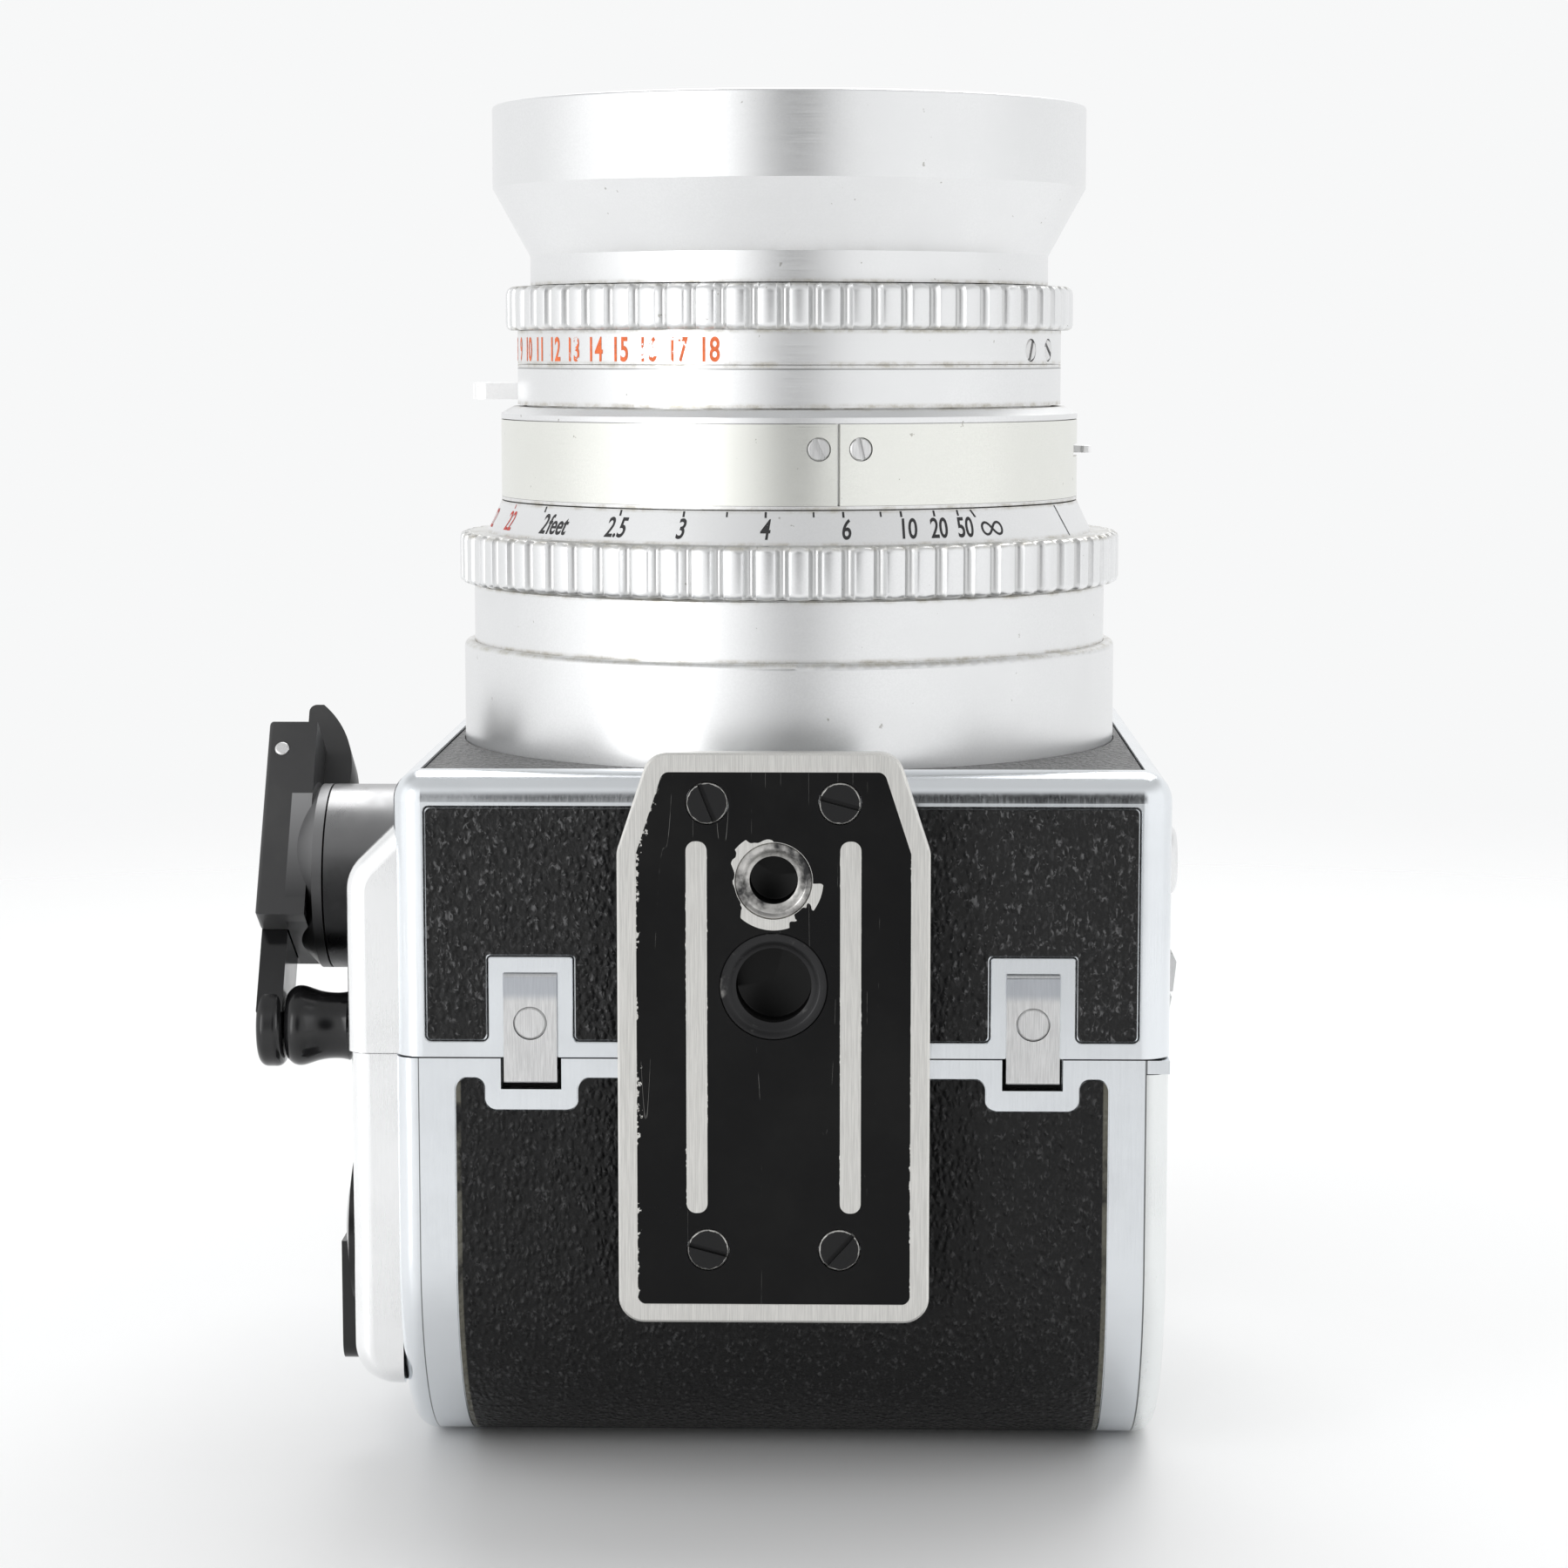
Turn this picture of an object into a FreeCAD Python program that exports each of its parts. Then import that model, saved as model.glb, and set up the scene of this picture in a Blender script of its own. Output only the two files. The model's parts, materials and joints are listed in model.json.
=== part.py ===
"""Super-wide medium-format camera: box body, leaf-shutter lens and roll-film magazine.

Origin: lens axis, on the back of the magazine. +Z is the way the lens looks, -Y is the
camera's underside (tripod plate) and -X is the winding side. Millimetres.
"""

import FreeCAD, Part
import math
import os
import re

import Sketcher

DIMENSIONS = {
    # camera body
    "body_half_x": 41.65,
    "body_half_y": 42.5,
    "seam_z": 47.2,
    "front_z": 77.9,
    "body_round": 3.2,
    "body_wall": 5.5,
    "seam_gap": 0.15,
    # leather coverings
    "panel_half_x": 38.05,
    "panel_low": 49.0,
    "panel_high": 74.1,
    "leather_thick": 0.6,
    "leather_round": 0.5,
    "mag_leather_round": 1.2,
    "leather_bevel": 0.25,
    "leather_gap": 0.12,
    "leather_dip": 0.05,
    "front_half": 38.8,
    "front_dip": 0.35,
    "side_half_y": 37.6,
    # lens: radii and heights of the fixed mount
    "base_radius": 37.85,
    "base_top": 89.05,
    "sleeve_radius": 36.65,
    "sleeve_top": 95.75,
    "neck_radius": 32.0,
    "tube_radius": 30.95,
    "running": 0.05,
    # focusing ring and distance scale
    "focus_radius": 38.3,
    "focus_low": 95.85,
    "focus_high": 101.6,
    "focus_flutes": 68,
    "scale_low_radius": 35.1,
    "scale_high_radius": 33.4,
    "scale_top": 105.2,
    # shutter housing
    "case_radius": 33.4,
    "case_low": 105.35,
    "band_low": 105.7,
    "band_high": 114.5,
    "band_thick": 0.8,
    "case_top": 116.0,
    "shoulder_z": 115.2,
    "shoulder_radius": 31.9,
    "case_bore": 26.0,
    "throat_radius": 28.9,
    "split_angle": 10.3,
    # setting rings
    "ring_radius": 31.45,
    "ring_bore": 30.45,
    "speed_low": 116.2,
    "speed_high": 120.78,
    "stop_low": 120.86,
    "stop_high": 124.6,
    "grip_radius": 32.8,
    "grip_low": 124.65,
    "grip_bevel_z": 128.75,
    "grip_high": 129.6,
    "grip_flutes": 60,
    # lens hood
    "hood_neck": 29.9,
    "hood_low": 129.75,
    "hood_flare_low": 133.1,
    "hood_flare_high": 140.8,
    "hood_radius": 34.15,
    "hood_top": 150.05,
    "hood_wall": 1.2,
    # glass and iris
    "front_glass_radius": 24.4,
    "rear_glass_radius": 19.5,
    "rear_cell_radius": 23.0,
    "rear_cell_low": 52.0,
    "iris_z": 107.6,
    "blade_pitch": 0.3,
    "blade_thick": 0.12,
    "blade_pivot": 22.6,
    "blade_count": 5,
    # magazine hooks
    "hook_x": 26.85,
    "hook_half": 2.85,
    "hook_low": 44.5,
    "hook_high": 56.3,
    "hook_thick": 1.0,
    "hook_proud": 0.7,
    "hook_pin": 1.74,
    "tab_half": 4.7,
    "tab_high": 58.2,
    "slot_low": 43.7,
    # tripod foot
    "plate_x": -0.7,
    "plate_half": 16.45,
    "plate_low": 19.8,
    "plate_high": 80.7,
    "plate_taper_z": 70.3,
    "plate_top_half": 13.0,
    "plate_face": 48.6,
    "plate_thick": 2.0,
    "field_margin": 2.0,
    "field_depth": 0.08,
    "strip_x": 8.1,
    "strip_half": 1.1,
    "strip_low": 31.7,
    "strip_high": 71.4,
    "foot_half": 12.0,
    "plate_screw_x": 6.95,
    "plate_screw_low": 27.7,
    "plate_screw_high": 75.4,
    "plate_screw_radius": 2.2,
    "small_socket_z": 67.2,
    "small_socket_bush": 4.05,
    "small_socket_bore": 2.55,
    "large_socket_z": 56.0,
    "large_socket_bush": 5.7,
    "large_socket_bore": 3.98,
    "socket_inner_y": 43.1,
    # winding crank, on the -X side
    "crank_y": -14.0,
    "crank_z": 62.7,
    "crank_tilt": 32.0,
    "collar_radius": 10.5,
    "collar_end": 51.6,
    "disc_end": 55.9,
    "arm_end": 59.1,
    "arm_start": 53.6,
    "arm_half": 8.5,
    "arm_far": 6.0,
    "arm_low": -8.5,
    "arm_high": 15.4,
    "lever_half": 4.1,
    "lever_inner": 56.0,
    "lever_outer": 58.9,
    "lever_pin": 12.0,
    "lever_tip": -18.4,
    "lever_pin_radius": 0.85,
    "knob_radius": 4.6,
    "knob_end": 48.35,
    "winding_module": 0.7,
    "winding_teeth": 24,
    "transfer_teeth": 12,
    "train_angle": 200.0,
    "shaft_radius": 3.95,
    # gear housings, on the -X side
    "housing_reach": 46.9,
    "housing_shoulder": 66.8,
    "housing_near": -41.0,
    "housing_far": -31.6,
    "mag_housing_reach": 47.0,
    "mag_housing_near": -38.0,
    "mag_housing_far": 4.0,
    "mag_housing_low": 9.5,
    "winder_radius": 9.0,
    "counter_module": 0.7,
    "counter_teeth": 20,
    # magazine
    "mag_half_x": 41.5,
    "mag_seam_x": 39.0,
    "mag_round": 25.0,
    "mag_edge": 2.4,
    "mag_wall": 2.2,
    "mag_panel_half": 35.1,
    "mag_panel_top": 45.0,
    "mag_leather": 0.5,
    "mag_tab_low": 41.5,
    "gate_half": 28.0,
    "spool_y": 26.0,
    "spool_z": 25.0,
    "spool_flange": 12.0,
    "spool_half": 33.0,
    # top fittings
    "shoe_half": 12.0,
    "shoe_slot": 9.3,
    "shoe_lip": 6.5,
    "shoe_low": 50.0,
    "shoe_high": 73.0,
    "shoe_top": 46.4,
    "finder_half": 19.0,
    "release_x": -27.0,
    "release_z": 62.0,
    "level_x": 25.0,
    "level_z": 62.0,
}

TINY = 1e-3
SCREW_SLOT = 0.5
LEVER_SLOT_SWEEP = 24
RING_SCREW_ANGLES = (60.3, 69.5)
SCREW_ANGLES = (6.6, 14.5, 186.6, 194.5)
PLATE_SLOT_ANGLES = {(-1, 1): -68, (1, 1): -15, (-1, -1): -15, (1, -1): 48}
AXES = {
    "x": FreeCAD.Rotation(FreeCAD.Vector(0, 1, 0), 90),
    "y": FreeCAD.Rotation(FreeCAD.Vector(1, 0, 0), -90),
    "z": FreeCAD.Rotation(),
}

doc = FreeCAD.newDocument("WideCamera")
dims = doc.addObject("Spreadsheet::Sheet", "Dims")
for row, (alias, number) in enumerate(DIMENSIONS.items(), start=1):
    dims.set(f"A{row}", alias)
    dims.set(f"B{row}", str(number))
    dims.setAlias(f"B{row}", alias)
doc.recompute()

ALIAS = re.compile(r"\b(" + "|".join(sorted(DIMENSIONS, key=len, reverse=True)) + r")\b")
sub_parts = []


# ---------------------------------------------------------------- document helpers


def value(text):
    """The number that an expression of sheet names stands for."""
    return float(dims.evalExpression(str(text)))


def bind(item, name, text):
    """Tie a property of a document object to an expression of sheet names."""
    item.setExpression(name, ALIAS.sub(lambda found: "Dims." + found.group(0), str(text)))


def sub_part(item, label):
    """Name a finished object as one of the camera's pieces."""
    item.Label = label
    sub_parts.append(item)
    return item


def pick(axis=None, **where):
    """A test for edges that run along an axis and have their middle at the places given."""
    places = {key: value(text) for key, text in where.items()}

    def test(edge):
        box = edge.BoundBox
        spans = {"x": box.XLength, "y": box.YLength, "z": box.ZLength}
        if axis and any(span > TINY for key, span in spans.items() if key != axis):
            return False
        return all(abs(getattr(box.Center, key) - place) < 0.01 for key, place in places.items())

    return test


def any_of(*tests):
    return lambda edge: any(test(edge) for test in tests)


def edge_numbers(shape, test):
    found = [number for number, edge in enumerate(shape.Edges, start=1) if test(edge)]
    if not found:
        raise RuntimeError("no edge fits the test")
    return found


# Part-style pieces: primitives and booleans


def block(x, y, z):
    """Box between (low, high) pairs of expressions."""
    made = doc.addObject("Part::Box", "Block")
    for name, axis, (low, high) in zip(("Length", "Width", "Height"), "xyz", (x, y, z)):
        bind(made, name, f"({high}) - ({low})")
        bind(made, "Placement.Base." + axis, low)
    return made


def rod(axis, radius, low, high, first="0", second="0", tip_radius=None):
    """Cylinder or cone along an axis; first and second place it on the other two axes."""
    made = doc.addObject("Part::Cone" if tip_radius else "Part::Cylinder", "Rod")
    bind(made, "Radius1" if tip_radius else "Radius", radius)
    if tip_radius:
        bind(made, "Radius2", tip_radius)
    bind(made, "Height", f"({high}) - ({low})")
    made.Placement = FreeCAD.Placement(FreeCAD.Vector(), AXES[axis])
    others = [name for name in "xyz" if name != axis]
    for name, text in zip((axis, *others), (low, first, second)):
        bind(made, "Placement.Base." + name, text)
    return made


def ball(radius, z):
    made = doc.addObject("Part::Sphere", "Ball")
    bind(made, "Radius", radius)
    bind(made, "Placement.Base.z", z)
    return made


def fuse(*pieces):
    made = doc.addObject("Part::MultiFuse", "Fuse")
    made.Shapes = list(pieces)
    return made


def cut(base, *tools):
    made = doc.addObject("Part::Cut", "Cut")
    made.Base = base
    made.Tool = tools[0] if len(tools) == 1 else fuse(*tools)
    return made


def common(first, second):
    made = doc.addObject("Part::Common", "Common")
    made.Base = first
    made.Tool = second
    return made


def group(*pieces):
    """Separate solids that share one name, such as a set of screws."""
    made = doc.addObject("Part::Compound", "Group")
    made.Links = list(pieces)
    return made


def soften(base, amount, test, kind="Part::Fillet"):
    """Round (or with Part::Chamfer, bevel) the edges of a Part-style piece."""
    doc.recompute()
    made = doc.addObject(kind, "Softened")
    made.Base = base
    size = value(amount)
    made.Edges = [(number, size, size) for number in edge_numbers(base.Shape, test)]
    return made


def turned(item, angle, centre=(0, 0, 0), axis=(0, 0, 1)):
    """A copy of a piece swung by an angle in degrees about an axis."""
    doc.recompute()
    made = doc.addObject("Part::Compound", "Turned")
    made.Links = [item]
    made.Placement = FreeCAD.Placement(
        FreeCAD.Vector(), FreeCAD.Rotation(FreeCAD.Vector(*axis), angle), FreeCAD.Vector(*centre)
    )
    return made


# PartDesign-style pieces: bodies with sketches


def body(label):
    return sub_part(doc.addObject("PartDesign::Body", label), label)


def plane_of(owner, role):
    return next(item for item in owner.Origin.OriginFeatures if item.Role == role)


def sketch(owner, plane, offset="0"):
    """Sketch on one of a body's own planes, moved along the plane's normal.

    The normals are +Z for XY_Plane, -Y for XZ_Plane and +X for YZ_Plane."""
    made = owner.newObject("Sketcher::SketchObject", "Sketch")
    made.AttachmentSupport = (plane_of(owner, plane), [""])
    made.MapMode = "FlatFace"
    bind(made, "AttachmentOffset.Base.z", offset)
    return made


def pin_point(drawing, geometry, point, corner):
    for kind, text in zip(("DistanceX", "DistanceY"), corner):
        number = drawing.addConstraint(
            Sketcher.Constraint(kind, -1, 1, geometry, point, value(text))
        )
        bind(drawing, f"Constraints[{number}]", text)


def outline(drawing, corners):
    """Closed polygon through corners, each a pair of expressions."""
    points = [FreeCAD.Vector(value(first), value(second), 0) for first, second in corners]
    start = drawing.GeometryCount
    count = len(points)
    for index, point in enumerate(points):
        drawing.addGeometry(Part.LineSegment(point, points[(index + 1) % count]))
    for index in range(count):
        following = start + (index + 1) % count
        drawing.addConstraint(Sketcher.Constraint("Coincident", start + index, 2, following, 1))
    for index, corner in enumerate(corners):
        pin_point(drawing, start + index, 1, corner)


def circle(drawing, centre, radius):
    place = FreeCAD.Vector(value(centre[0]), value(centre[1]), 0)
    normal = FreeCAD.Vector(0, 0, 1)
    number = drawing.addGeometry(Part.Circle(place, normal, value(radius)))
    pin_point(drawing, number, 3, centre)
    constraint = drawing.addConstraint(Sketcher.Constraint("Radius", number, value(radius)))
    bind(drawing, f"Constraints[{constraint}]", radius)


def feature(owner, kind, drawing, length=None, flip=False, through=False):
    """Pad, Pocket, Revolution or Groove on a sketch; its effect on the volume is checked."""
    before = owner.Tip.Shape.Volume if owner.Tip else 0.0
    made = owner.newObject("PartDesign::" + kind, kind)
    made.Profile = drawing
    if kind in ("Revolution", "Groove"):
        made.ReferenceAxis = (drawing, ["V_Axis"])
        made.Angle = 360
    elif through:
        made.Type = "ThroughAll"
        made.Midplane = True
    else:
        bind(made, "Length", length)
    if flip:
        made.Reversed = True
    doc.recompute()
    change = made.Shape.Volume - before
    if change * (1 if kind in ("Pad", "Revolution") else -1) < TINY:
        raise RuntimeError(f"{owner.Label}: {kind} changes nothing")
    return made


def dress(owner, kind, amount, test):
    """Fillet or Chamfer on the edges of a body that pass a test."""
    doc.recompute()
    base = owner.Tip
    made = owner.newObject("PartDesign::" + kind, kind)
    made.Base = (base, [f"Edge{number}" for number in edge_numbers(base.Shape, test)])
    bind(made, "Radius" if kind == "Fillet" else "Size", amount)
    doc.recompute()
    return made


def ring(label, *corners):
    """Piece turned about the lens axis, from corners (radius, height)."""
    made = body(label)
    drawing = sketch(made, "XZ_Plane")
    outline(drawing, corners)
    feature(made, "Revolution", drawing)
    return made


def repeat_about_axis(owner, cutting, count):
    """Repeat a pocket around the lens axis."""
    made = owner.newObject("PartDesign::PolarPattern", "Pattern")
    made.Originals = [cutting]
    made.Axis = (plane_of(owner, "Z_Axis"), [""])
    made.Angle = 360
    bind(made, "Occurrences", count)
    owner.Tip = made
    doc.recompute()
    return made


# ---------------------------------------------------------------- radial hardware


def radial(item, angle, radius, z):
    """Point a piece made along +Z outwards from the lens axis, angle 0 being -Y."""
    turn = math.radians(angle)
    outwards = FreeCAD.Vector(math.sin(turn), -math.cos(turn), 0)
    place = outwards * radius + FreeCAD.Vector(0, 0, z)
    item.Placement = FreeCAD.Placement(place, FreeCAD.Rotation(FreeCAD.Vector(0, 0, 1), outwards))
    return item


def slotted_screw(radius, length, slot_angle, shank_radius=None, shank=0):
    """Cheese-head screw along +Z with its head's face at the origin."""
    solid = Part.makeCylinder(radius, length, FreeCAD.Vector(0, 0, -length))
    if shank_radius:
        solid = solid.fuse(
            Part.makeCylinder(shank_radius, shank, FreeCAD.Vector(0, 0, -length - shank))
        )
    rim = [edge for edge in solid.Edges if edge.BoundBox.ZMin > -TINY]
    solid = solid.makeChamfer(0.15, rim)
    slot = Part.makeBox(4 * radius, SCREW_SLOT, 0.5, FreeCAD.Vector(-2 * radius, -SCREW_SLOT / 2, -0.5))
    slot.rotate(FreeCAD.Vector(), FreeCAD.Vector(0, 0, 1), slot_angle)
    return solid.removeSplitter().cut(slot)


def shaped(shape, name="Shaped"):
    made = doc.addObject("Part::Feature", name)
    made.Shape = shape
    return made


# ---------------------------------------------------------------- camera body


def underside_outline(inset):
    """Outline of the underside's leather, in X and Z."""
    low = f"panel_low + {inset}"
    half = f"panel_half_x - {inset}"
    tabs = []
    for side in (-1, 1):
        left = f"{side} * hook_x - tab_half - {inset}"
        right = f"{side} * hook_x + tab_half + {inset}"
        high = f"tab_high + {inset}"
        tabs += [(left, low), (left, high), (right, high), (right, low)]
    top = f"panel_high - {inset}"
    return [(f"-({half})", low), *tabs, (half, low), (half, top), (f"-({half})", top)]


def underside_rim(edge):
    """Whether an edge is where the underside's frame turns into the leather's recess."""
    box = edge.BoundBox
    on_face = abs(box.YMin + value("body_half_y")) < TINY and box.YLength < TINY
    inside = box.ZMin > value("panel_low") - TINY and box.ZMax < value("panel_high") + TINY
    return on_face and inside and max(abs(box.XMin), abs(box.XMax)) < value("panel_half_x") + TINY


def rectangle(first_low, first_high, second_low, second_high):
    return [
        (first_low, second_low),
        (first_high, second_low),
        (first_high, second_high),
        (first_low, second_high),
    ]


def make_body_shell():
    shell = body("body_shell")
    drawing = sketch(shell, "XY_Plane", "seam_z")
    outline(drawing, rectangle("-body_half_x", "body_half_x", "-body_half_y", "body_half_y"))
    feature(shell, "Pad", drawing, "front_z - seam_z")
    rear = value("seam_z") + TINY
    dress(shell, "Fillet", "body_round", lambda edge: edge.BoundBox.Center.z > rear)

    drawing = sketch(shell, "XY_Plane", "seam_z")
    half_x, half_y = "body_half_x - body_wall", "body_half_y - body_wall"
    outline(drawing, rectangle(f"-({half_x})", half_x, f"-({half_y})", half_y))
    feature(shell, "Pocket", drawing, "front_z - seam_z - body_wall", flip=True)

    drawing = sketch(shell, "XY_Plane", "front_z")
    circle(drawing, ("0", "0"), "sleeve_radius - 2.6")
    feature(shell, "Pocket", drawing, "body_wall + 1")

    drawing = sketch(shell, "XY_Plane", "front_z")
    outline(drawing, rectangle("-front_half", "front_half", "-front_half", "front_half"))
    feature(shell, "Pocket", drawing, "front_dip + leather_thick")

    drawing = sketch(shell, "XZ_Plane", "body_half_y")
    outline(drawing, underside_outline("0"))
    feature(shell, "Pocket", drawing, "leather_thick + leather_dip")
    sunk = "(leather_thick + leather_dip) / 2"
    dress(shell, "Fillet", "leather_round", pick("y", y=f"-body_half_y + {sunk}"))
    dress(shell, "Chamfer", "leather_bevel", underside_rim)

    drawing = sketch(shell, "XZ_Plane", "-body_half_y")
    outline(drawing, rectangle("-panel_half_x", "panel_half_x", "panel_low", "panel_high"))
    feature(shell, "Pocket", drawing, "leather_thick + leather_dip", flip=True)

    for side, flip in (("body_half_x", False), ("-body_half_x", True)):
        drawing = sketch(shell, "YZ_Plane", side)
        outline(drawing, rectangle("-side_half_y", "side_half_y", "panel_low", "panel_high"))
        feature(shell, "Pocket", drawing, "leather_thick + leather_dip", flip=flip)

    for side in (-1, 1):
        drawing = sketch(shell, "XZ_Plane", "body_half_y")
        left, right = f"{side} * hook_x - hook_half - 0.1", f"{side} * hook_x + hook_half + 0.1"
        outline(drawing, rectangle(left, right, "seam_z - 1", "hook_high + 0.1"))
        feature(shell, "Pocket", drawing, "hook_thick - hook_proud + 0.02")

    drawing = sketch(shell, "YZ_Plane", "-body_half_x")
    circle(drawing, ("crank_y", "crank_z"), "shaft_radius + running")
    feature(shell, "Pocket", drawing, "body_wall + 1", flip=True)

    drawing = sketch(shell, "XZ_Plane", "-body_half_y")
    circle(drawing, ("release_x", "release_z"), "4.3")
    feature(shell, "Pocket", drawing, "body_wall + 1", flip=True)


def make_leathers():
    panel = body("underside_leather")
    drawing = sketch(panel, "XZ_Plane", "body_half_y - leather_dip - leather_thick")
    outline(drawing, underside_outline("leather_gap"))
    feature(panel, "Pad", drawing, "leather_thick")
    dress(panel, "Fillet", "leather_round", pick("y"))

    panel = body("front_leather")
    drawing = sketch(panel, "XY_Plane", "front_z - front_dip - leather_thick")
    half = "front_half - leather_gap"
    outline(drawing, rectangle(f"-({half})", half, f"-({half})", half))
    circle(drawing, ("0", "0"), "base_radius + leather_gap")
    feature(panel, "Pad", drawing, "leather_thick")

    low, high = "panel_low + leather_gap", "panel_high - leather_gap"
    half_x, half_y = "panel_half_x - leather_gap", "side_half_y - leather_gap"
    skin = "body_half_y - leather_dip"
    top = cut(
        block((f"-({half_x})", half_x), (f"{skin} - leather_thick", skin), (low, high)),
        block(("-shoe_half - 0.1", "shoe_half + 0.1"), ("40", "44"), ("shoe_low - 0.1", "shoe_high + 0.1")),
        rod("y", "6.6", "40", "44", "release_x", "release_z"),
        rod("y", "6.6", "40", "44", "level_x", "level_z"),
    )
    skin = "body_half_x - leather_dip"
    left = cut(
        block((f"{skin} - leather_thick", skin), (f"-({half_y})", half_y), (low, high)),
        rod("x", "4.2", "40", "44", "-22", "65.9"),
        block(("40", "44"), ("5.9", "12.1"), ("48", "52.2")),
    )
    right = cut(
        block((f"-({skin})", f"leather_thick - ({skin})"), (f"-({half_y})", half_y), (low, high)),
        rod("x", "collar_radius + 0.1", "-44", "-40", "crank_y", "crank_z"),
        block(("-44", "-40"), ("-40", "housing_far + 0.1"), ("48", "76")),
        block(("-44", "-40"), ("5.9", "12.1"), ("48", "52.2")),
    )
    sub_part(group(top, left, right), "side_leathers")


def make_hooks():
    """Two sprung steel hooks that hold the magazine's foot, each on a riveted pin."""
    pieces = []
    face = "-body_half_y - hook_proud"
    for side in (-1, 1):
        centre = f"{side} * hook_x"
        strip = block(
            (f"{centre} - hook_half", f"{centre} + hook_half"),
            (face, f"{face} + hook_thick"),
            ("hook_low", "hook_high"),
        )
        claw = block(
            (f"{centre} - hook_half", f"{centre} + hook_half"),
            (face, f"{face} + 2.0"),
            ("hook_low", "hook_low + 1.2"),
        )
        hook = soften(fuse(strip, claw), "0.35", pick("x", y=face))
        pin_hole = rod("y", "hook_pin + 0.06", "-50", "-40", centre, "51.0")
        pieces.append(cut(hook, pin_hole))
        rivet = rod("y", "hook_pin", f"{face} - 0.05", f"{face} + hook_thick", centre, "51.0")
        pieces.append(soften(rivet, "0.2", pick(y=f"{face} - 0.05"), "Part::Chamfer"))
    sub_part(group(*pieces), "magazine_hooks")


# ---------------------------------------------------------------- tripod foot


def plate_outline(margin):
    half, top = f"plate_half - {margin}", f"plate_top_half - 0.7 * {margin}"
    low, high = f"plate_low + {margin}", f"plate_high - {margin}"
    taper = f"plate_taper_z - 0.15 * {margin}"
    return [
        (f"plate_x - ({half})", low),
        (f"plate_x + {half}", low),
        (f"plate_x + {half}", taper),
        (f"plate_x + {top}", high),
        (f"plate_x - ({top})", high),
        (f"plate_x - ({half})", taper),
    ]


def socket_holes(low, high, play="0.03"):
    return [
        rod("y", f"small_socket_bush + {play}", low, high, "plate_x", "small_socket_z"),
        rod("y", f"large_socket_bush + {play}", low, high, "plate_x", "large_socket_z"),
    ]


def plate_screw_places():
    for (side, level), angle in PLATE_SLOT_ANGLES.items():
        height = "plate_screw_high" if level > 0 else "plate_screw_low"
        yield f"plate_x + {side} * plate_screw_x", height, angle


def make_tripod_foot():
    foot = fuse(
        block(("-foot_half", "foot_half"), ("-plate_face + plate_thick", "-body_half_y"), ("50", "78")),
        block(
            ("-foot_half", "foot_half"),
            ("-plate_face + plate_thick", "-plate_face + plate_thick + 1.9"),
            ("23", "51"),
        ),
    )
    foot = soften(foot, "2", pick("y", z="23"))
    holes = socket_holes("-50", "-42")
    for x, z, _ in plate_screw_places():
        holes.append(rod("y", "1.25", "-50", "-43.4", x, z))
    sub_part(cut(foot, *holes), "foot_bracket")

    plate = body("tripod_plate")
    drawing = sketch(plate, "XZ_Plane", "plate_face - plate_thick")
    outline(drawing, plate_outline("0"))
    feature(plate, "Pad", drawing, "plate_thick")
    dress(plate, "Fillet", "2.7", pick("y"))
    face = pick(y="-plate_face")
    dress(plate, "Chamfer", "0.25", face)
    drawing = sketch(plate, "XZ_Plane", "plate_face")
    outline(drawing, plate_outline("field_margin"))
    for side in (-1, 1):
        outline(
            drawing,
            rectangle(
                f"plate_x + {side} * strip_x - strip_half",
                f"plate_x + {side} * strip_x + strip_half",
                "strip_low",
                "strip_high",
            ),
        )
    feature(plate, "Pocket", drawing, "field_depth")
    dress(plate, "Fillet", "strip_half - 0.1", pick("y", y="-plate_face + field_depth / 2"))
    drawing = sketch(plate, "XZ_Plane", "plate_face")
    circle(drawing, ("plate_x", "small_socket_z"), "small_socket_bush + 0.03")
    circle(drawing, ("plate_x", "large_socket_z"), "large_socket_bush + 0.03")
    for x, z, _ in plate_screw_places():
        circle(drawing, (x, z), "plate_screw_radius + 0.08")
    feature(plate, "Pocket", drawing, "plate_thick + 1")

    pieces = []
    for x, z, angle in plate_screw_places():
        screw = slotted_screw(value("plate_screw_radius"), 1.9, angle, 1.2, 1.6)
        piece = shaped(screw, "PlateScrew")
        piece.Placement = FreeCAD.Placement(
            FreeCAD.Vector(value(x), -value("plate_face") + 0.04, value(z)),
            FreeCAD.Rotation(FreeCAD.Vector(1, 0, 0), 90),
        )
        pieces.append(piece)
    sub_part(group(*pieces), "plate_screws")

    for label, size in (("socket_small", "small_socket"), ("socket_large", "large_socket")):
        low, high = "-plate_face + 0.12", "-socket_inner_y"
        place = ("plate_x", f"{size}_z")
        bush = rod("y", f"{size}_bush", low, high, *place)
        bore = rod("y", f"{size}_bore", f"{low} - 1", f"{high} + 1", *place)
        mouth = rod(
            "y", f"{size}_bore + 0.9", low, f"{low} + 0.9", *place, tip_radius=f"{size}_bore"
        )
        sub_part(cut(bush, bore, mouth), label)


# ---------------------------------------------------------------- lens mount and focusing


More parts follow.
